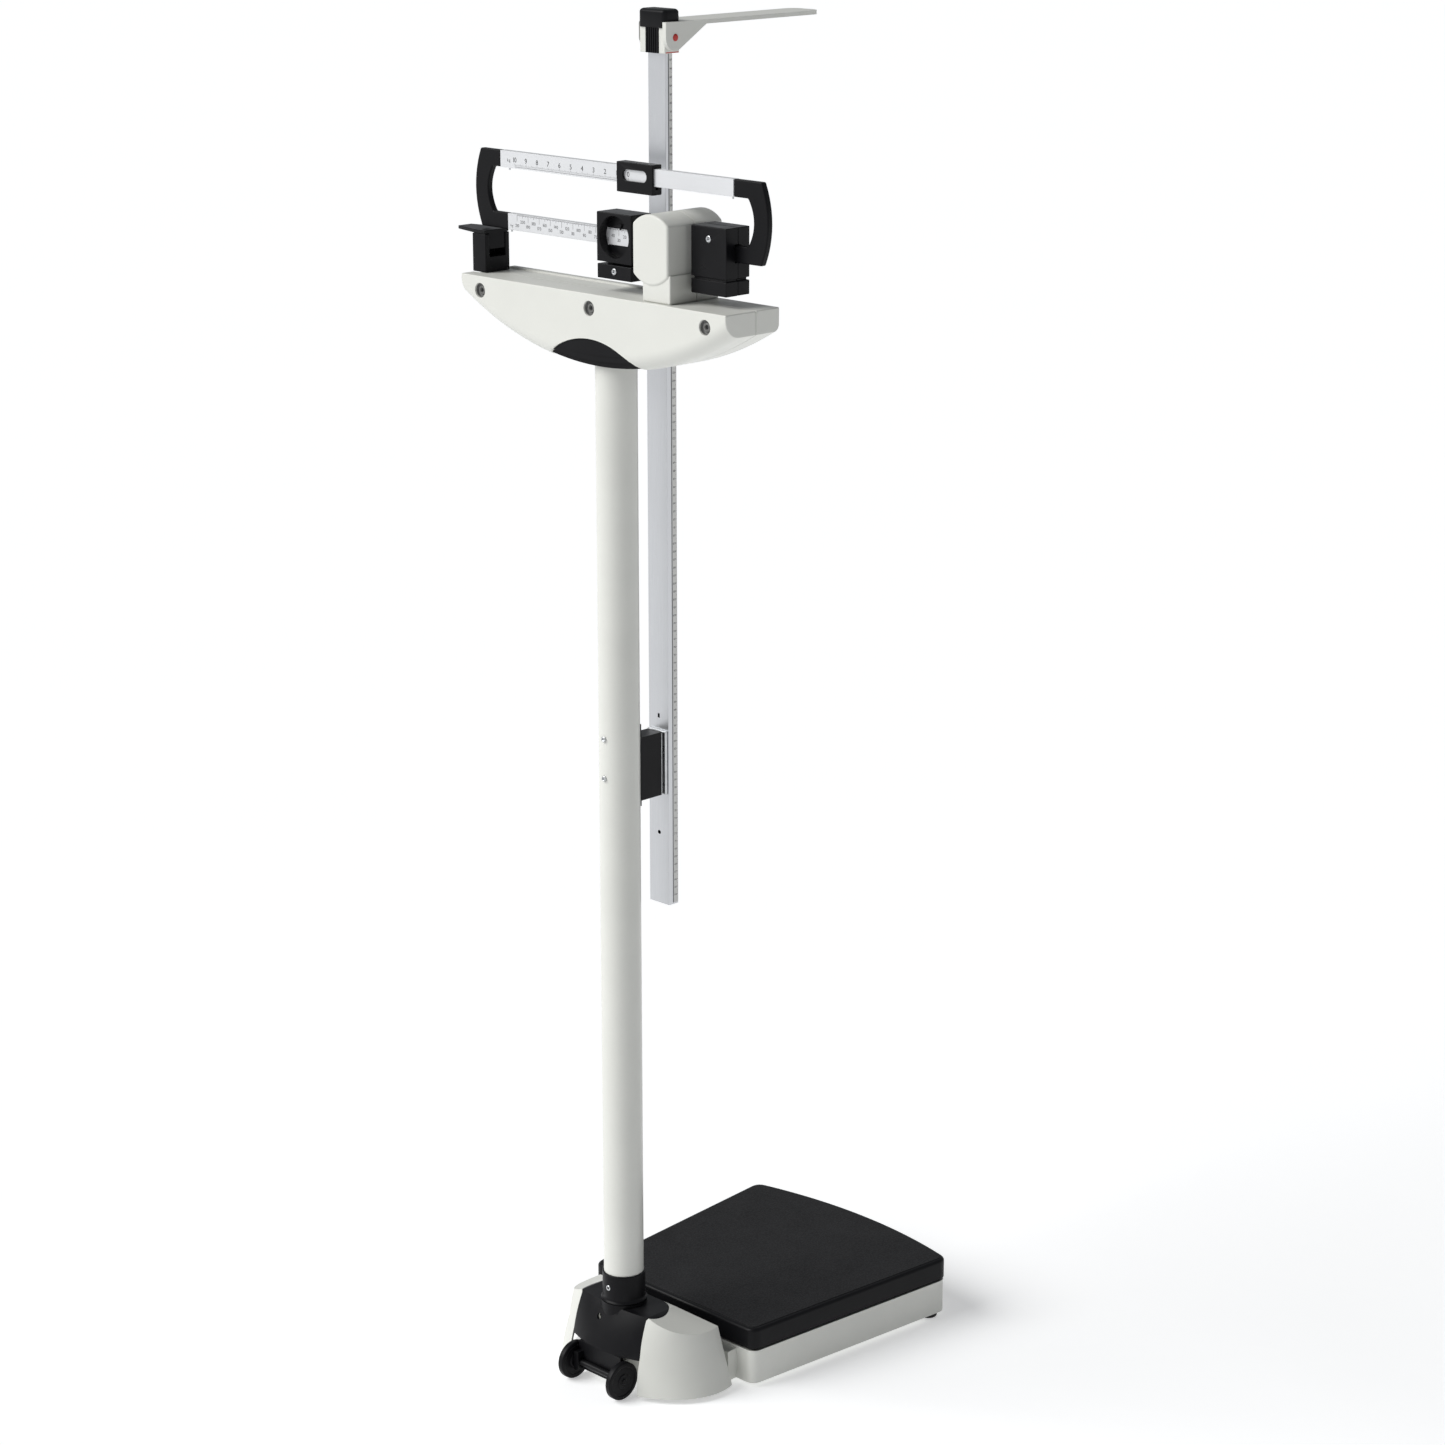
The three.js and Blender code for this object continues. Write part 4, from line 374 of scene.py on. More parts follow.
def inset(outline, distance):
    """An anticlockwise outline moved inwards, each point along the mean of its sides' normals."""
    ahead = np.roll(outline, -1, axis=0) - outline
    ahead /= np.maximum(np.linalg.norm(ahead, axis=1, keepdims=True), 1e-9)
    normal = np.stack([-ahead[:, 1], ahead[:, 0]], axis=-1)
    mean = normal + np.roll(normal, 1, axis=0)
    mean /= np.maximum((mean * normal).sum(axis=1, keepdims=True), 0.2)
    return outline + mean * distance


def lift(outline, height, axis):
    """A flat outline placed at a height along an axis: (x, y), (x, z) or (y, z) for z, y and x."""
    level = np.full(len(outline), float(height))
    order = {
        "z": (outline[:, 0], outline[:, 1], level),
        "y": (outline[:, 0], level, outline[:, 1]),
        "x": (level, outline[:, 0], outline[:, 1]),
    }
    return np.stack(order[axis], axis=-1)


def soft_prism(name, outline, low, high, axis, edge=0.8, steps=4, smooth_angle=35):
    """An outline carried along an axis, its two end edges rounded by a quarter circle."""
    turn = np.linspace(0, math.pi / 2, steps + 1)
    insets = edge * (1 - np.sin(turn))
    heights = edge * (1 - np.cos(turn))
    start = [lift(inset(outline, i), low + h, axis) for i, h in zip(insets, heights)]
    end = [lift(inset(outline, i), high - h, axis) for i, h in zip(insets[::-1], heights[::-1])]
    return loft(name, start + end, smooth_angle=smooth_angle)


def bars(name, centres, sizes):
    """Small square-edged bars, one for each centre and size, as one mesh."""
    centres = np.asarray(centres, float)
    sizes = np.broadcast_to(np.asarray(sizes, float), centres.shape)
    signs = np.array([[x, y, z] for z in (-0.5, 0.5) for y in (-0.5, 0.5) for x in (-0.5, 0.5)])
    points = centres[:, None] + signs * sizes[:, None]
    sides = np.array(
        [[0, 2, 3, 1], [4, 5, 7, 6], [0, 1, 5, 4], [2, 6, 7, 3], [0, 4, 6, 2], [1, 3, 7, 5]]
    )
    faces = sides[None] + 8 * np.arange(len(centres))[:, None, None]
    return make_piece(name, points.reshape(-1, 3), faces.reshape(-1, 4).tolist())


def level_shading(piece):
    """Lets the large faces decide the shading, so that flat ones look flat beside round edges."""
    flat = piece.modifiers.new("flat_faces", "WEIGHTED_NORMAL")
    flat.keep_sharp = True
    flat.weight = 100


def carve(piece, cutters, joined=(), smooth_angle=32):
    """Joins closed meshes to a piece, cuts others out of it, and removes them all."""
    for operation, tools in (("UNION", joined), ("DIFFERENCE", cutters)):
        for tool in tools:
            step = piece.modifiers.new("carve", "BOOLEAN")
            step.operation = operation
            step.solver = "MANIFOLD"
            step.object = tool
    bpy.context.view_layer.update()
    depsgraph = bpy.context.evaluated_depsgraph_get()
    mesh = bpy.data.meshes.new_from_object(piece.evaluated_get(depsgraph))
    piece.modifiers.clear()
    piece.data = mesh
    for tool in (*cutters, *joined):
        bpy.data.objects.remove(tool)
    settle(mesh, smooth_angle)
    level_shading(piece)
    return piece


def glyph(character):
    """One character of the built-in font as a closed mesh: points, faces and width, scaled so that
    a figure is one unit high."""
    curve = bpy.data.curves.new("glyph", "FONT")
    curve.body = character
    curve.resolution_u = 3
    curve.extrude = 0.012
    holder = bpy.data.objects.new("glyph", curve)
    bpy.context.scene.collection.objects.link(holder)
    bpy.context.view_layer.update()
    mesh = bpy.data.meshes.new_from_object(holder.evaluated_get(bpy.context.evaluated_depsgraph_get()))
    points = np.zeros(len(mesh.vertices) * 3)
    mesh.vertices.foreach_get("co", points)
    points = points.reshape(-1, 3) / FIGURE_HEIGHT
    faces = [list(face.vertices) for face in mesh.polygons]
    bpy.data.objects.remove(holder)
    bpy.data.curves.remove(curve)
    bpy.data.meshes.remove(mesh)
    points[:, 0] -= points[:, 0].min()
    return points, faces, points[:, 0].max()


FIGURE_HEIGHT = 0.73  # a figure's height at the built-in font's size of one
LETTER_GAP = 0.14
glyphs = {character: glyph(character) for character in "0123456789kgcm"}


def lettering(name, labels, right, up):
    """Labels of (text, centre, height) drawn on a plane by its right and up directions, centred on
    their width and on a figure's height, as one mesh."""
    right = np.array(right, float)
    up = np.array(up, float)
    out = np.cross(right, up)
    all_points = []
    all_faces = []
    base = 0
    for text, centre, height in labels:
        width = sum(glyphs[c][2] for c in text) + LETTER_GAP * (len(text) - 1)
        cursor = -width / 2
        for character in text:
            points, faces, advance = glyphs[character]
            across = (points[:, :1] + cursor) * height
            rise = (points[:, 1:2] - 0.5) * height
            proud = points[:, 2:] * height
            all_points.append(np.asarray(centre) + across * right + rise * up + proud * out)
            all_faces += [[i + base for i in face] for face in faces]
            base += len(points)
            cursor += advance + LETTER_GAP
    return make_piece(name, np.concatenate(all_points), all_faces)


def softened(node, width=0.6, angle=40, segments=2, smooth_angle=38):
    """A copy of a node's mesh, merged and joined into flat faces, with its sharp edges rounded."""
    mesh = frame["nodes"][node].data.copy()
    mesh.name = node + "_soft"
    settle(mesh, smooth_angle, flatten=True)
    piece = bpy.data.objects.new(node + "_soft", mesh)
    bpy.context.scene.collection.objects.link(piece)
    if width:
        bevel = piece.modifiers.new("rounded_edges", "BEVEL")
        bevel.width = width * MM
        bevel.segments = segments
        bevel.limit_method = "ANGLE"
        bevel.angle_limit = math.radians(angle)
        bevel.use_clamp_overlap = True
        bevel.miter_outer = "MITER_ARC"
    level_shading(piece)
    return piece


# ---- the stand: base, column and housing ----


COVER_HOLE = (-13, 90)
COVER_HOLE_R = 3.8
COVER_HOLE_END_Y = -27.2
FOOT_EDGE = 2  # radius of a foot's lower edge


def base_and_feet():
    """The cast base and its black cover, drilled on the front, and the four rubber feet, each a disc
    with a rounded lower edge carried round its middle."""
    stand_for(softened("base_frame", 1.2, segments=3), "base_frame")
    for node in ("wing_left", "wing_right"):
        stand_for(softened(node, 1.2, segments=3, smooth_angle=25), node)
    cover = softened("base_cover", 0.9, segments=3, smooth_angle=25)
    cover.modifiers.remove(cover.modifiers["flat_faces"])
    drill = [(0, -70), (COVER_HOLE_R, -70), (COVER_HOLE_R, COVER_HOLE_END_Y), (0, COVER_HOLE_END_Y)]
    hole = turned("hole", drill, "y", COVER_HOLE, 40)
    stand_for(carve(cover, [hole], smooth_angle=25), "base_cover")
    # painted shade: a dark disc at the end of the cover's hole
    start, end = COVER_HOLE_END_Y + 0.3, COVER_HOLE_END_Y + 1.2
    disc = [(0, start), (COVER_HOLE_R - 0.1, start), (COVER_HOLE_R - 0.1, end), (0, end)]
    hole_shade_disc = turned("cover_hole_shade_disc", disc, "y", COVER_HOLE, 32)
    place(hole_shade_disc, "stand", "black_plastic", painted_hole_shade)
    stand_for(softened("roller_bracket", 0.8), "roller_bracket")
    for node in ("foot_rear_left", "foot_rear_right", "foot_front_left", "foot_front_right"):
        low, high = corners(node)
        radius = (high[0] - low[0]) / 2
        floor, top = low[2], high[2]
        profile = [(0, floor), (radius - 3, floor), (radius - 2.6, floor + 0.5)]
        profile += arc((radius - FOOT_EDGE, floor + 2.2), FOOT_EDGE, -80, 0, 5).tolist()
        profile += [(radius, top - 0.6), (radius - 0.6, top), (0, top)]
        stand_for(turned(node + "_pad", profile, centre=seen_from(node, "z")), node)


TREAD_EDGE = 1.6  # radius of a tread's edges
DISH_R = 5  # how far the dished side of a wheel starts inside its tread
DISH_DEPTH = 1
HUB_R = 9


def wheels():
    """Discs with rounded treads, dished sides, a raised hub and a bore, and the axle between them:
    profiles carried round the axle."""
    axle_low, axle_high = corners("wheel_axle")
    centre = seen_from("wheel_axle", "x")
    axle = (axle_high[2] - axle_low[2]) / 2
    bore = axle + 0.3
    for node in ("wheel_left", "wheel_right"):
        low, high = corners(node)
        radius = (high[2] - low[2]) / 2
        left, right = low[0], high[0]
        rim = radius - TREAD_EDGE
        dish = radius - DISH_R
        profile = [(bore, left), (HUB_R, left), (HUB_R + 1, left + DISH_DEPTH)]
        profile += [(dish - 1, left + DISH_DEPTH), (dish, left + 0.3), (rim, left + 0.3)]
        profile += arc((rim, left + 0.3 + TREAD_EDGE), TREAD_EDGE, -90, 0, 5).tolist()
        profile += arc((rim, right - 0.3 - TREAD_EDGE), TREAD_EDGE, 0, 90, 5).tolist()
        profile += [(dish, right - 0.3), (dish - 1, right - DISH_DEPTH)]
        profile += [(HUB_R + 1, right - DISH_DEPTH), (HUB_R, right), (bore, right)]
        stand_for(turned(node + "_disc", profile, "x", centre, 96, looped=True), node)
    left, right = axle_low[0], axle_high[0]
    profile = [(0, left), (axle - 1, left), (axle, left + 1)]
    profile += [(axle, right - 1), (axle - 1, right), (0, right)]
    axle_bar = turned("wheel_axle_bar", profile, "x", centre, 40)
    stand_for(axle_bar, "wheel_axle", materials["black_iron"])


COLUMN_WALL = 2
COLLAR_BARREL_R = 27.4
COLLAR_FLARE = 6  # radius of the flare at the collar's foot
COLLAR_EDGE = 1.5


def column_and_collar():
    """A tube, and a ring with a flared foot and a rounded top: profiles carried round the column."""
    low, high = corners("column")
    outer = high[0]
    inner = outer - COLUMN_WALL
    tube = [(outer, low[2]), (outer, high[2]), (inner, high[2]), (inner, low[2])]
    stand_for(turned("column_tube", tube, sides=128, looped=True), "column")
    low, high = corners("column_collar")
    foot, top, reach = low[2], high[2], high[0]
    bore = outer + 0.3
    flare_centre = (COLLAR_BARREL_R + COLLAR_FLARE, foot + 0.4 + COLLAR_FLARE)
    edge_centre = (COLLAR_BARREL_R - COLLAR_EDGE, top - COLLAR_EDGE)
    profile = [(bore, foot), (reach - 0.3, foot), (reach, foot + 0.4)]
    profile += arc(flare_centre, COLLAR_FLARE, 230, 180, 8).tolist()
    profile += arc(edge_centre, COLLAR_EDGE, 0, 90, 5).tolist()
    profile.append((bore, top))
    stand_for(turned("collar_ring", profile, sides=128, looped=True), "column_collar")


def screw(name, node, head_radius, shank_radius, head, dip, material=None):
    """A screw that lies along y with its head in front: a rounded rim round a socket that is a
    little over twice the dip deep, a head, and a shank with a pointed end."""
    low, high = corners(node)
    front, tail = low[1], high[1]
    profile = [(0, front + dip * 2.2), (head_radius * 0.46, front + dip * 2.2)]
    profile += [(head_radius * 0.5, front + dip * 0.6), (head_radius * 0.62, front + 0.05)]
    profile += [(head_radius * 0.85, front), (head_radius * 0.97, front + 0.35)]
    profile += [(head_radius, front + 0.8), (head_radius, front + head)]
    profile += [(shank_radius, front + head), (shank_radius, tail - 0.5), (0, tail)]
    return stand_for(turned(name, profile, "y", seen_from(node, "y"), 40), node, material)


HOUSING_WALL = 3
FRONT_FILLET = 22
REAR_FILLET = 9
BELLY_Z = 1317
END_Z = 1379.5  # the underside where it meets each end
CHANNEL_DEPTH = 2.2
CHANNEL_FRONT_Y = -25
CHANNEL_REAR_Y = 34
CHANNEL_RIGHT_X = 84.2  # the top channel ends here, beside the tower
ARCH_R = 119
END_EDGE = 1.5  # radius of the edges of both ends
LINK_WAY = rectangle(91, 124, -3.5, 14.5, 2)  # the draft rod's way through the top
SEAM_GROOVE = 0.5  # half as wide as the groove where two shells meet
SEAM_DEPTH = 1.5
TOP_EDGE = 1.4
RECESS_R = 8.8
RECESS_DEPTH = 6
RECESS_LEAD = 0.9  # how far a recess widens at its rim
LINER_R = 8.65
LINER_BORE = 5.9
SOCKET_R = 2.6
HOUSING_SCREWS = (1, 2, 3)


def housing_underside(x, half):
    """Height of the belly: a circle through its lowest point and the underside of both ends."""
    rise = END_Z - BELLY_Z
    radius = (half**2 + rise**2) / (2 * rise)
    return BELLY_Z + radius - np.sqrt(radius**2 - x**2)


def housing_section(x, half, top, face, seam, fillet, channel_y, wall, open_top):
    """The shell's section at each x, as (x, y, z) rings: along the top from the seam's groove, down
    the outer face, round the fillet and back along the belly. Each point is raised to the arch over
    the belly cover if it lies below it. A section for the hollow has no groove, edge or arch."""
    way = 1 if face > seam else -1
    low = housing_underside(x, half)[:, None] + wall
    depth = np.where(x < CHANNEL_RIGHT_X, CHANNEL_DEPTH, 0.0)[:, None] * open_top
    turn = np.linspace(0, math.pi / 2, 11)[None]
    edge = TOP_EDGE * open_top + 0.01
    radius = max(fillet - wall, 1)
    outer = face - way * wall
    rounding = np.linspace(0, math.pi / 2, 5)[None]
    one = np.ones_like(low)
    dip = SEAM_DEPTH * open_top + 0.01
    groove = one * (seam + way * (SEAM_GROOVE * open_top + 0.01))
    lip = groove + way * 0.02
    y = [
        one * seam, groove, lip, one * (channel_y - way * 0.6), one * channel_y,
        outer - way * edge * (1 - np.sin(rounding)) * one,
        outer - way * radius * (1 - np.cos(turn)) * one, lip, groove, one * seam,
    ]
    z = [
        top - depth - dip, top - depth - dip, top - depth, top - depth, top * one,
        top - edge * (1 - np.cos(rounding)) * one,
        low + radius * (1 - np.sin(turn)), low, low + dip, low + dip,
    ]
    y = np.concatenate(y, axis=1)
    z = np.concatenate(z, axis=1)
    if open_top:
        arch_top = corners("belly_cover")[1][2] + 0.3
        arch = arch_top - ARCH_R + np.sqrt(np.maximum(ARCH_R**2 - x**2, 0))
        z = np.maximum(z, np.where(np.abs(x) < ARCH_R, arch, 0)[:, None])
    rings = np.stack([np.repeat(x[:, None], y.shape[1], axis=1), y, z], axis=-1)
    return rings[:, ::-way]


def housing_shell(node, seam_side, face_side, fillet, channel_y):
    """One half of the housing: the outer loft less its hollow."""
    low, high = corners(node)
    half = high[0]
    top = high[2]
    seam = (low[1], high[1])[seam_side]
    face = (low[1], high[1])[face_side]
    way = 1 if face > seam else -1
    stations = np.linspace(-half + END_EDGE, half - END_EDGE, 181)
    channel_end = [CHANNEL_RIGHT_X - 0.01, CHANNEL_RIGHT_X + 0.01]
    x = np.sort(np.concatenate([stations, channel_end]))
    rings = housing_section(x, half, top, face, seam, fillet, channel_y, 0, 1)
    ends = []
    for side, index in ((-1, 0), (1, -1)):
        outline = rings[index][:, 1:]
        end = []
        for turn in np.linspace(0, 1.5, 5):
            move = END_EDGE * (1 - math.sin(turn))
            back = END_EDGE * (1 - math.cos(turn))
            end.append(lift(inset(outline, move), side * (half - back), "x"))
        ends.append(end)
    outer = loft(node + "_shell", [*ends[0], *rings, *ends[1][::-1]], smooth_angle=32)
    x = np.linspace(-half + HOUSING_WALL, half - HOUSING_WALL, 61)
    roof = top - HOUSING_WALL - CHANNEL_DEPTH
    hollow = housing_section(
        x, half, roof, face, seam - way * 4, fillet, channel_y, HOUSING_WALL, 0
    )
    link_way = soft_prism("link_way", LINK_WAY, top - 20, top + 5, "z")
    return outer, [loft("hollow", hollow), link_way]


def housing():
    """Both shells, the belly cover, and the screws in their recesses on the front."""
    front_shell, cutters = housing_shell("housing_front", 1, 0, FRONT_FILLET, CHANNEL_FRONT_Y)
    front = corners("housing_front")[0][1]
    start, floor = front - 4, front + RECESS_DEPTH
    for number in HOUSING_SCREWS:
        where = seen_from(f"housing_screw_{number}", "y")
        profile = [(0, start), (RECESS_R + RECESS_LEAD, start), (RECESS_R + RECESS_LEAD, front)]
        profile += [(RECESS_R + 0.3, front + 0.3), (RECESS_R, front + 1), (RECESS_R, floor), (0, floor)]
        cutters.append(turned("recess", profile, "y", where, 56))
    stand_for(carve(front_shell, cutters), "housing_front")
    rear_shell, cutters = housing_shell("housing_rear", 0, 1, REAR_FILLET, CHANNEL_REAR_Y)
    stand_for(carve(rear_shell, cutters), "housing_rear")
    stand_for(softened("belly_cover", 0.6), "belly_cover")
    for number in HOUSING_SCREWS:
        housing_screw(number, front + 2.2, floor)


def housing_screw(number, rim, floor):
    """A screw, the grey liner of its recess and a dark disc of painted shade in its socket: profiles
    carried round the screw's axis."""
    node = f"housing_screw_{number}"
    where = seen_from(node, "y")
    screw(f"housing_socket_screw_{number}", node, 5.5, 3, 3, 1.4, screw_grey)
    cup = [(LINER_BORE, floor - 0.35), (LINER_R, floor - 0.35), (LINER_R, rim)]
    cup += [(LINER_R - 0.15, rim), (LINER_R - 0.2, floor - 0.7), (LINER_BORE, floor - 0.7)]
    liner = turned(f"recess_liner_{number}", cup, "y", where, 48, looped=True)
    place(liner, "stand", "grey_plastic", cup_grey)
    # painted shade: a dark disc inside the screw's socket
    deep = corners(node)[0][1] + 2.6
    disc = [(0, deep), (SOCKET_R, deep), (SOCKET_R, deep + 0.8), (0, deep + 0.8)]
    socket_shade = turned(f"socket_shade_disc_{number}", disc, "y", where, 24)
    place(socket_shade, "stand", "black_plastic", painted_hole_shade)


TOWER_R = 41
TOWER_HALF = 29  # from the drum's middle to its flat sides
TOWER_WALL = 3.5
TOWER_EDGE = 3.2  # radius of the drum's front and rear edges
PEDESTAL_FRONT_Y = -37.5
PEDESTAL_REAR_Y = 42
PEDESTAL_LEFT_X = 84.5
PEDESTAL_RIGHT_X = 130
PEDESTAL_EDGE = 1.6
PEDESTAL_REACH = 14  # how far the pedestal reaches up into the drum
BEAM_WAY_SIDE = 1.6  # room beside the beam where it passes through the tower
BEAM_WAY_FLOOR_Z = 1456.5
BEAM_WAY_ROOF = 2.5


def drum_outline(centre, shrink, steps=22):
    """A circle cut flat at both sides, each corner between an arc and a flat cut off a little."""
    radius = TOWER_R - shrink
    flat = TOWER_HALF - shrink
    lean = math.degrees(math.acos(flat / radius))
    first = lean + 1.5
    top = arc(centre, radius, first, 180 - first, steps)
    bottom = arc(centre, radius, 180 + first, 360 - first, steps)
    right = centre[0] + flat
    left = centre[0] - flat
    drop = radius * math.sin(math.radians(lean)) - 1.2
    return np.concatenate([
        [(right, centre[1] + drop)], top, [(left, centre[1] + drop), (left, centre[1] - drop)],
        bottom, [(right, centre[1] - drop)],
    ])


def seam_prism(name, outline, face, seam, edge):
    """An outline carried along y, from a face with a rounded edge to a groove at the seam."""
    way = 1 if seam > face else -1
    rings = [
        lift(inset(outline, edge * (1 - math.sin(a))), face + way * edge * (1 - math.cos(a)), "y")
        for a in np.linspace(0, math.pi / 2, 6)
    ]
    rings.append(lift(outline, seam - way * (SEAM_GROOVE + 0.02), "y"))
    rings.append(lift(inset(outline, SEAM_DEPTH), seam - way * SEAM_GROOVE, "y"))
    rings.append(lift(inset(outline, SEAM_DEPTH), seam, "y"))
    return loft(name, rings)


def tower_half(node, seam_side, face_side, pedestal_face):
    """A drum on a pedestal, hollow, with a way through for the beam."""
    low, high = corners(node)
    seam = (low[1], high[1])[seam_side]
    face = (low[1], high[1])[face_side]
    way = 1 if seam > face else -1
    centre = (low[0] + TOWER_HALF, high[2] - TOWER_R)
    foot_top = centre[1] - TOWER_R + PEDESTAL_REACH
    drum = seam_prism(node + "_shell", drum_outline(centre, 0), face, seam, TOWER_EDGE)
    plinth = rectangle(PEDESTAL_LEFT_X, PEDESTAL_RIGHT_X, low[2], foot_top, 1.5)
    pedestal = seam_prism("pedestal", plinth, pedestal_face, seam, PEDESTAL_EDGE)
    past = seam + way * 3
    room = drum_outline(centre, TOWER_WALL)
    hollow = seam_prism("hollow", room, face + way * TOWER_WALL, past, 0.5)
    left, right = PEDESTAL_LEFT_X + TOWER_WALL, PEDESTAL_RIGHT_X - TOWER_WALL
    shaft = rectangle(left, right, low[2] - 10, centre[1], 1)
    well = seam_prism("well", shaft, pedestal_face + way * TOWER_WALL, past, 0.5)
    beam_low, beam_high = corners("lower_beam")
    front, rear = beam_low[1] - BEAM_WAY_SIDE, beam_high[1] + BEAM_WAY_SIDE
    slot = rectangle(front, rear, BEAM_WAY_FLOOR_Z, beam_high[2] + BEAM_WAY_ROOF, 1.5)
    beam_way = soft_prism("beam_way", slot, centre[0] - 60, centre[0] + 60, "x", 0.5)
    return carve(drum, [hollow, well, beam_way], [pedestal])


def tower_and_post():
    """The bearing tower's two halves, what they hold, the stop post and the beam lock."""
    stand_for(tower_half("tower_front", 1, 0, PEDESTAL_FRONT_Y), "tower_front")
    stand_for(tower_half("tower_rear", 0, 1, PEDESTAL_REAR_Y), "tower_rear")
    for node in ("bearing_front", "bearing_rear", "carrier_bar"):
        stand_for(softened(node, 0.4), node)
    stand_for(softened("stop_post", 1.0, segments=3), "stop_post")
    stand_for(softened("beam_lock", 0.7, segments=3), "beam_lock")


# ---- the beam with its poises ----

MARK_THICK = 0.06  # marks are centred on a face, so half of this stands proud
UPPER_ZERO_X = 22.0
UPPER_PITCH = 19.7  # for each kilogram
UPPER_RANGE = 10
UPPER_FIGURE_HEIGHT = 6.2
UPPER_FIGURE_DROP = 9.6  # from the beam's upper edge to the middle of its figures
UPPER_TICK_DROP = 17  # and to the foot of its ticks
UPPER_LINE_DROP = 18.2
LOWER_ZERO_X = 35.0
LOWER_PITCH = 0.989
LOWER_RANGE = 210
LOWER_FIGURE_HEIGHT = 4.0
LOWER_EVEN_DROP = 8.6  # even tens stand in the upper row
LOWER_ODD_DROP = 13.5
LOWER_TICK_DROP = 0.5  # from the beam's upper edge to the top of its ticks


def beams():
    """The beam with its bows, its knife and pin, its counterweight, its poises and their screws."""
    for node in ("upper_beam", "lower_beam"):
        stand_for(softened(node, 0.5), node)
    for node in ("fulcrum_knife", "load_pin"):
        stand_for(softened(node, 0.25), node)
    for node in ("bow_left", "bow_right"):
        stand_for(softened(node, 1.6, segments=4), node)
    for node in ("counterweight_front", "counterweight_rear"):
        stand_for(softened(node, 1.3, segments=3), node)
    for node, width in (("large_poise", 0.9), ("poise_clamp", 0.9), ("small_poise", 0.45)):
        stand_for(softened(node, width, segments=3), node)
    for node in ("counterweight_screw", "poise_screw"):
        screw(node + "_ring", node, 4, 2.4, 1.2, 0.9)


def marks(x, face, z, width, height):
    """Centres and sizes of upright marks on a front face, for bars()."""
    level = np.full(np.shape(x), 1.0)
    centres = np.stack([x, level * face, z], axis=-1)
    sizes = np.stack([level * width, level * MARK_THICK, height], axis=-1)
    return centres, sizes


def upper_numbers():
    """A figure for each kilogram, a tick for each tenth under the figures, and a base line."""
    low, high = corners("upper_beam")
    face, top = low[1], high[2]
    row = top - UPPER_FIGURE_DROP
    labels = [
        (str(value), (UPPER_ZERO_X - UPPER_PITCH * value, face, row), UPPER_FIGURE_HEIGHT)
        for value in range(UPPER_RANGE + 1)
    ]
    last_x = UPPER_ZERO_X - UPPER_PITCH * UPPER_RANGE
    labels.append(("kg", (last_x - 11, face, row - 1), 4.0))
    figures = lettering("upper_beam_figures", labels, (1, 0, 0), (0, 0, 1))
    place(figures, "beam", "black_plastic", print_and_groove_shade)
    tenth = np.arange(UPPER_RANGE * 10 + 1)
    height = np.where(tenth % 10 == 0, 3.0, np.where(tenth % 5 == 0, 2.4, 1.7))
    x = UPPER_ZERO_X - UPPER_PITCH * tenth / 10
    centres, sizes = marks(x, face, top - UPPER_TICK_DROP + height / 2, 0.35, height)
    centres = np.concatenate([centres, [[(x[0] + x[-1]) / 2, face, top - UPPER_LINE_DROP]]])
    sizes = np.concatenate([sizes, [[x[0] - x[-1], MARK_THICK, 0.4]]])
    place(bars("upper_beam_ticks", centres, sizes), "beam", "black_plastic", print_and_groove_shade)


def lower_numbers():
    """Figures for each ten kilograms in two rows, with ticks that hang from the top edge."""
    low, high = corners("lower_beam")
    face, top = low[1], high[2]
    labels = []
    for value in range(0, LOWER_RANGE + 10, 10):
        row = top - (LOWER_ODD_DROP if value % 20 else LOWER_EVEN_DROP)
        x = LOWER_ZERO_X - LOWER_PITCH * value
        labels.append((str(value), (x, face, row), LOWER_FIGURE_HEIGHT))
    labels.append(("kg", (x - 9.5, face, top - 14), 3.2))
    figures = lettering("lower_beam_figures", labels, (1, 0, 0), (0, 0, 1))
    place(figures, "beam", "black_plastic", print_and_groove_shade)
    kilogram = np.arange(LOWER_RANGE + 1)
    height = np.where(kilogram % 5 == 0, 2.2, 1.3)
    height = np.where(kilogram % 20 == 0, 3.6, height)
    height = np.where(kilogram % 20 == 10, 8.0, height)
    x = LOWER_ZERO_X - LOWER_PITCH * kilogram
    centres, sizes = marks(x, face, top - LOWER_TICK_DROP - height / 2, 0.38, height)
    place(bars("lower_beam_ticks", centres, sizes), "beam", "black_plastic", print_and_groove_shade)


# ---- the height rod ----


def height_rod():
    """The rods with their bracket, plate and screws, their scale, and all that sits on top."""
    for node in ("outer_rod", "inner_rod"):
        stand_for(softened(node, 0.35), node)
    stand_for(softened("rod_bracket", 0.9, segments=3), "rod_bracket")
    stand_for(softened("rod_plate", 0.6), "rod_plate")
    for node in ("bracket_screw_1", "bracket_screw_2"):
        screw(node + "_head", node, 3.6, 3.6, 1.6, 0.7)
    screw("collar_set_screw", "collar_screw", 3.6, 3, 1, 0.5)
    rod_scale("outer_rod", "stand", margin=1.2)
    rod_scale("inner_rod", "rod", margin=1.1, bare_top=20)
    rod_top()


STRIP_THICK = 0.24  # centred on the rod's side, as the groove is
GROOVE_WIDTH = 1.1
CENTIMETRE = 10.0
ROD_FIGURE_HEIGHT = 2.6


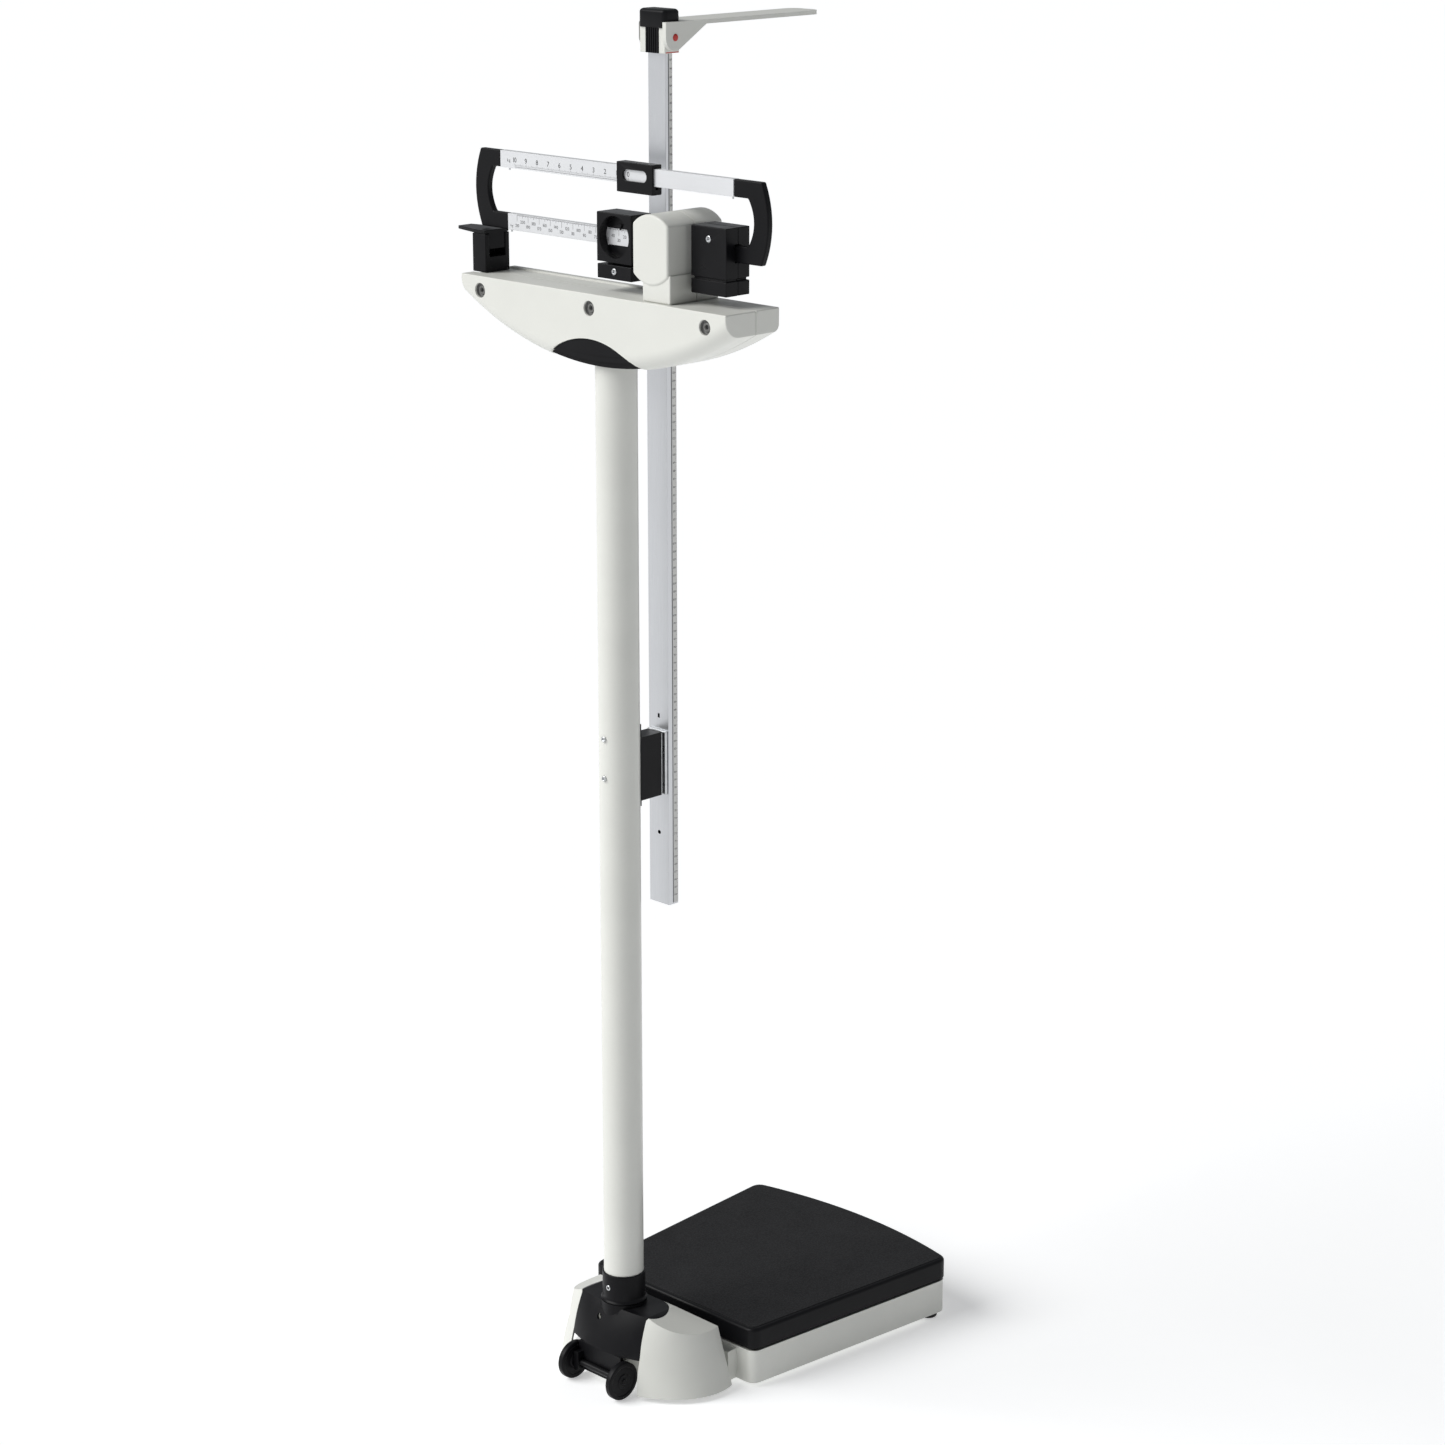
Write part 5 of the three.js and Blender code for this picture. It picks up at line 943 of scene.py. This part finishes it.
def rod_scale(node, body, margin, bare_top=0):
    """A white strip down the rear half of a rod's right side, narrower than it by the margin, with a
    dark strip beside it as painted shade for its groove, a figure and a tick for each centimetre, and a
    shorter tick for each half."""
    low, high = corners(node)
    middle = (low[1] + high[1]) / 2
    side, rear = high[0], high[1]
    bottom, top = low[2] + 2, high[2] - 2 - bare_top
    height = top - bottom
    level = (top + bottom) / 2
    strip_y = (middle + rear - margin) / 2 + 0.6
    strip_size = [STRIP_THICK, rear - middle - margin, height]
    strip = bars(node + "_scale_strip", [[side, strip_y, level]], strip_size)
    place(strip, body, "white_scale", pale_label)
    # painted shade: a flat dark strip where the rod has a groove
    groove_size = [STRIP_THICK, GROOVE_WIDTH, height]
    groove = bars(node + "_groove", [[side, middle - 0.6, level]], groove_size)
    place(groove, body, "black_plastic", print_and_groove_shade)
    face = side + STRIP_THICK / 2
    ticks = []
    sizes = []
    labels = []
    for value in range(math.ceil(bottom / CENTIMETRE), math.ceil(top / CENTIMETRE - 0.2)):
        z = value * CENTIMETRE
        ticks.append((face, rear - 1.9, z))
        sizes.append((MARK_THICK, 1.6, 0.4))
        if z + CENTIMETRE / 2 < top:
            ticks.append((face, rear - 1.6, z + CENTIMETRE / 2))
            sizes.append((MARK_THICK, 1.0, 0.3))
        labels.append((str(value), (face, middle + 3.2, z), ROD_FIGURE_HEIGHT))
    figures = lettering(node + "_figures", labels, (0, 1, 0), (0, 0, 1))
    place(figures, body, "black_plastic", print_and_groove_shade)
    place(bars(node + "_ticks", ticks, sizes), body, "black_plastic", print_and_groove_shade)


CAP_CORNER = 6
CAP_DOME = 5.5  # how far the cap's dome draws in
CAP_DOME_HEIGHT = 4.2
PIN_EDGE = 1.4


def rod_top():
    """The cap, the slide with its grip and red reading line, the arm, its pin and the latch."""
    low, high = corners("rod_cap")
    outline = rectangle(low[0], high[0], low[1], high[1], CAP_CORNER)
    side = high[2] - CAP_DOME_HEIGHT
    rings = [lift(inset(outline, 0.5), low[2], "z"), lift(outline, low[2] + 0.5, "z")]
    rings.append(lift(outline, side, "z"))
    for turn in np.radians(np.linspace(10, 80, 8)):
        drawn_in = inset(outline, CAP_DOME * (1 - math.cos(turn)))
        rings.append(lift(drawn_in, side + CAP_DOME_HEIGHT * math.sin(turn), "z"))
    stand_for(loft("rod_cap_dome", rings, smooth_angle=60), "rod_cap")
    stand_for(softened("head_slide", 0.8, segments=3), "head_slide")
    stand_for(softened("slide_insert", 0.3), "slide_insert")
    stand_for(softened("measuring_arm", 0.7, segments=3), "measuring_arm")
    stand_for(softened("thumb_latch", 0.6), "thumb_latch")
    low, high = corners("arm_pin")
    radius = (high[2] - low[2]) / 2
    profile = [(0, low[0]), (radius, low[0]), (radius, high[0] - PIN_EDGE)]
    profile += arc((radius - PIN_EDGE, high[0] - PIN_EDGE), PIN_EDGE, 0, 90, 5).tolist()
    profile.append((0, high[0]))
    pin = turned("arm_pin_button", profile, "x", seen_from("arm_pin", "x"), 40)
    stand_for(pin, "arm_pin")
    low, high = corners("head_slide")
    line = bars(
        "reading_line",
        [[high[0], (low[1] + high[1]) / 2, low[2] + 1.0], [0, low[1], low[2] + 1.0]],
        [[0.24, high[1] - low[1] - 3, 1.1], [0.24, 0.24, 1.1]],
    )
    place(line, "slide", "red_plastic", red_ink)


# ---- platform ----


TRAY_EDGE = 4.5
TRAY_WALL = 4
TRAY_NEAR_HALF = 147
TRAY_FAR_HALF = 178
TRAY_FAR_R = 680
TRAY_CORNER = 14
TRAY_CEILING = 5  # thickness under the mat's recess
TRAY_FOOT_EDGE = 0.8
MAT_INSET = 6
MAT_RECESS = 2.2
MAT_EDGE = 0.9  # radius of the mat's rolled edge


def curve_through(start, bend, end, steps=8):
    """A parabola from start to end that leaves and arrives along the lines to the bend."""
    t = np.linspace(0, 1, steps + 1)[:, None]
    return (1 - t) ** 2 * np.array(start) + 2 * t * (1 - t) * np.array(bend) + t**2 * np.array(end)


def platform_outline(grow_in):
    """The platform from above: straight near edge and sides, a far edge on a wide arc, round
    corners. It is moved inwards by grow_in."""
    low, high = corners("platform_tray")
    near = low[1] + grow_in
    far = high[1]
    spread = (TRAY_FAR_HALF - TRAY_NEAR_HALF) / (high[1] - low[1])
    near_half = TRAY_NEAR_HALF - grow_in + spread * grow_in
    corner = max(TRAY_CORNER - grow_in, 2)
    far_half = TRAY_FAR_HALF - grow_in - spread * corner
    radius = TRAY_FAR_R - grow_in

    def edge(x):
        """How far back the far edge lies at x."""
        return far - TRAY_FAR_R + math.sqrt(radius**2 - x**2)

    near_corner = curve_through(
        (near_half - corner, near), (near_half, near), (near_half + spread * corner, near + corner)
    )
    far_corner = curve_through(
        (far_half - spread * corner, edge(far_half) - corner),
        (far_half, edge(far_half)),
        (far_half - corner, edge(far_half - corner)),
    )
    across = np.linspace(far_half - corner, 0, 16)[1:]
    rim = np.stack([across, [edge(x) for x in across]], axis=-1)
    right = np.concatenate([near_corner, far_corner, rim])
    left = right[:-1][::-1] * (-1, 1)
    return np.concatenate([right, left])


def tray():
    """The tray, one outline of the platform after another: up the inner wall from the ceiling's
    underside, under and up the outer wall, round the upper edge and down into the mat's recess."""
    low, high = corners("platform_tray")
    foot, top = low[2], high[2]
    outer = platform_outline(0)
    inner = platform_outline(TRAY_WALL)
    rings = [lift(inner, top - MAT_RECESS - TRAY_CEILING, "z"), lift(inner, foot, "z")]
    rings.append(lift(inset(outer, TRAY_FOOT_EDGE), foot, "z"))
    rings.append(lift(outer, foot + TRAY_FOOT_EDGE, "z"))
    for turn in np.linspace(0, math.pi / 2, 9):
        drawn_in = inset(outer, TRAY_EDGE * (1 - math.cos(turn)))
        rings.append(lift(drawn_in, top - TRAY_EDGE * (1 - math.sin(turn)), "z"))
    rings.append(lift(platform_outline(MAT_INSET - 0.6), top, "z"))
    rings.append(lift(platform_outline(MAT_INSET - 0.4), top - MAT_RECESS, "z"))
    piece = loft("platform_tray_shell", rings, smooth_angle=40)
    level_shading(piece)
    stand_for(piece, "platform_tray")


def mat():
    """The mat: the platform's outline as a thin sheet, its upper edge rolled by a quarter circle."""
    low, high = corners("platform_mat")
    top = high[2]
    outline = platform_outline(MAT_INSET)
    rings = [lift(outline, low[2], "z"), lift(outline, top - MAT_EDGE, "z")]
    for turn in np.linspace(0.3, math.pi / 2, 5):
        drawn_in = inset(outline, MAT_EDGE * (1 - math.cos(turn)))
        rings.append(lift(drawn_in, top - MAT_EDGE * (1 - math.sin(turn)), "z"))
    piece = loft("platform_mat_sheet", rings, smooth_angle=50)
    level_shading(piece)
    stand_for(piece, "platform_mat")


def platform():
    """The tray and its mat, and the levers and rod that carry the load away under them."""
    tray()
    mat()
    for node in ("platform_carrier", "main_lever", "short_lever", "draft_rod"):
        stand_for(softened(node, 0.5), node)


# ---- floor, light and camera ----


FLOOR_RADII = (500, 4000, 60000)
FLOOR_SIDES = 96
FLOOR_GLOW = 0.40
SUN_STRENGTH = 2.85
SUN_SPREAD = 42  # degrees across, so that its shadows are soft
SUN_TURN = (51, 0, -33)
SKY_SHARE_DIFFUSE = 0.14  # how much of the sky's light reaches matt surfaces
SKY_SHARE_GLOSSY = 0.45  # and how much of it shows in reflections
CAMERA_PLACE = (2.9811, -3.00385, 2.0516)
CAMERA_TURN = (73.96, 0, 44.75)
CAMERA_LENS = 86.85


def studio_floor():
    """A plain pale floor: rings round the column joined by quads, round a flat middle."""
    angle = np.linspace(0, 2 * math.pi, FLOOR_SIDES, endpoint=False)
    radii = np.array(FLOOR_RADII, float)[:, None]
    level = np.zeros((len(radii), FLOOR_SIDES))
    points = np.stack([radii * np.cos(angle), radii * np.sin(angle), level], axis=-1)
    index = np.arange(points.size // 3).reshape(level.shape)
    near, far = index[:-1], index[1:]
    quads = np.stack([near, np.roll(near, -1, 1), np.roll(far, -1, 1), far], axis=-1)
    faces = quads.reshape(-1, 4).tolist() + [index[0].tolist()]
    mesh = bpy.data.meshes.new("floor")
    mesh.from_pydata(metres(points.reshape(-1, 3)).tolist(), [], faces)
    floor = bpy.data.objects.new("floor", mesh)
    bpy.context.scene.collection.objects.link(floor)
    paper = finish("floor_paper", (0.86, 0.87, 0.885), 0.85, cloud=0.003, cloud_size=900, grain=8,
                   grain_depth=0.02, gloss_spread=0.02, specular=0.1)
    lit = paper.node_tree.nodes["Principled BSDF"]
    lit.inputs["Emission Color"].default_value = (1.0, 1.0, 1.0, 1)
    lit.inputs["Emission Strength"].default_value = FLOOR_GLOW
    floor.data.materials.append(paper)


def studio_light():
    """One soft high light from the front left."""
    sun = bpy.data.lights.new("key", "SUN")
    sun.energy = SUN_STRENGTH
    sun.angle = math.radians(SUN_SPREAD)
    sun.color = (1.0, 0.995, 0.98)
    key = bpy.data.objects.new("key", sun)
    key.rotation_euler = [math.radians(turn) for turn in SUN_TURN]
    bpy.context.scene.collection.objects.link(key)


def sky():
    """A pale sky, bright behind the scale and dimmer in what it lights and in reflections."""
    world = bpy.data.worlds.new("sky")
    bpy.context.scene.world = world
    world.use_nodes = True
    tree = world.node_tree
    background = tree.nodes["Background"]
    background.inputs["Color"].default_value = (0.93, 0.96, 1.0, 1)
    path = tree.nodes.new("ShaderNodeLightPath")
    product = tree.nodes.new("ShaderNodeMath")
    product.operation = "MULTIPLY"
    shares = (("Is Diffuse Ray", SKY_SHARE_DIFFUSE), ("Is Glossy Ray", SKY_SHARE_GLOSSY))
    for (ray, share), factor in zip(shares, product.inputs):
        strength = tree.nodes.new("ShaderNodeMapRange")
        strength.inputs["To Min"].default_value = 1.0
        strength.inputs["To Max"].default_value = share
        tree.links.new(path.outputs[ray], strength.inputs["Value"])
        tree.links.new(strength.outputs["Result"], factor)
    tree.links.new(product.outputs["Value"], background.inputs["Strength"])


def camera():
    """A long lens above standing height, in front of the column and to its right."""
    data = bpy.data.cameras.new("camera")
    data.sensor_width = 36
    data.lens = CAMERA_LENS
    data.clip_end = 200
    view = bpy.data.objects.new("camera", data)
    view.location = CAMERA_PLACE
    view.rotation_euler = [math.radians(turn) for turn in CAMERA_TURN]
    bpy.context.scene.collection.objects.link(view)
    bpy.context.scene.camera = view


for node, holder in frame["nodes"].items():
    holder.data.materials.clear()
    holder.data.materials.append(materials[slot_of[node]])

base_and_feet()
wheels()
column_and_collar()
housing()
tower_and_post()
beams()
upper_numbers()
lower_numbers()
height_rod()
platform()
studio_floor()
studio_light()
sky()
camera()

bpy.context.scene.view_settings.view_transform = "Standard"
bpy.context.scene.view_settings.look = "None"
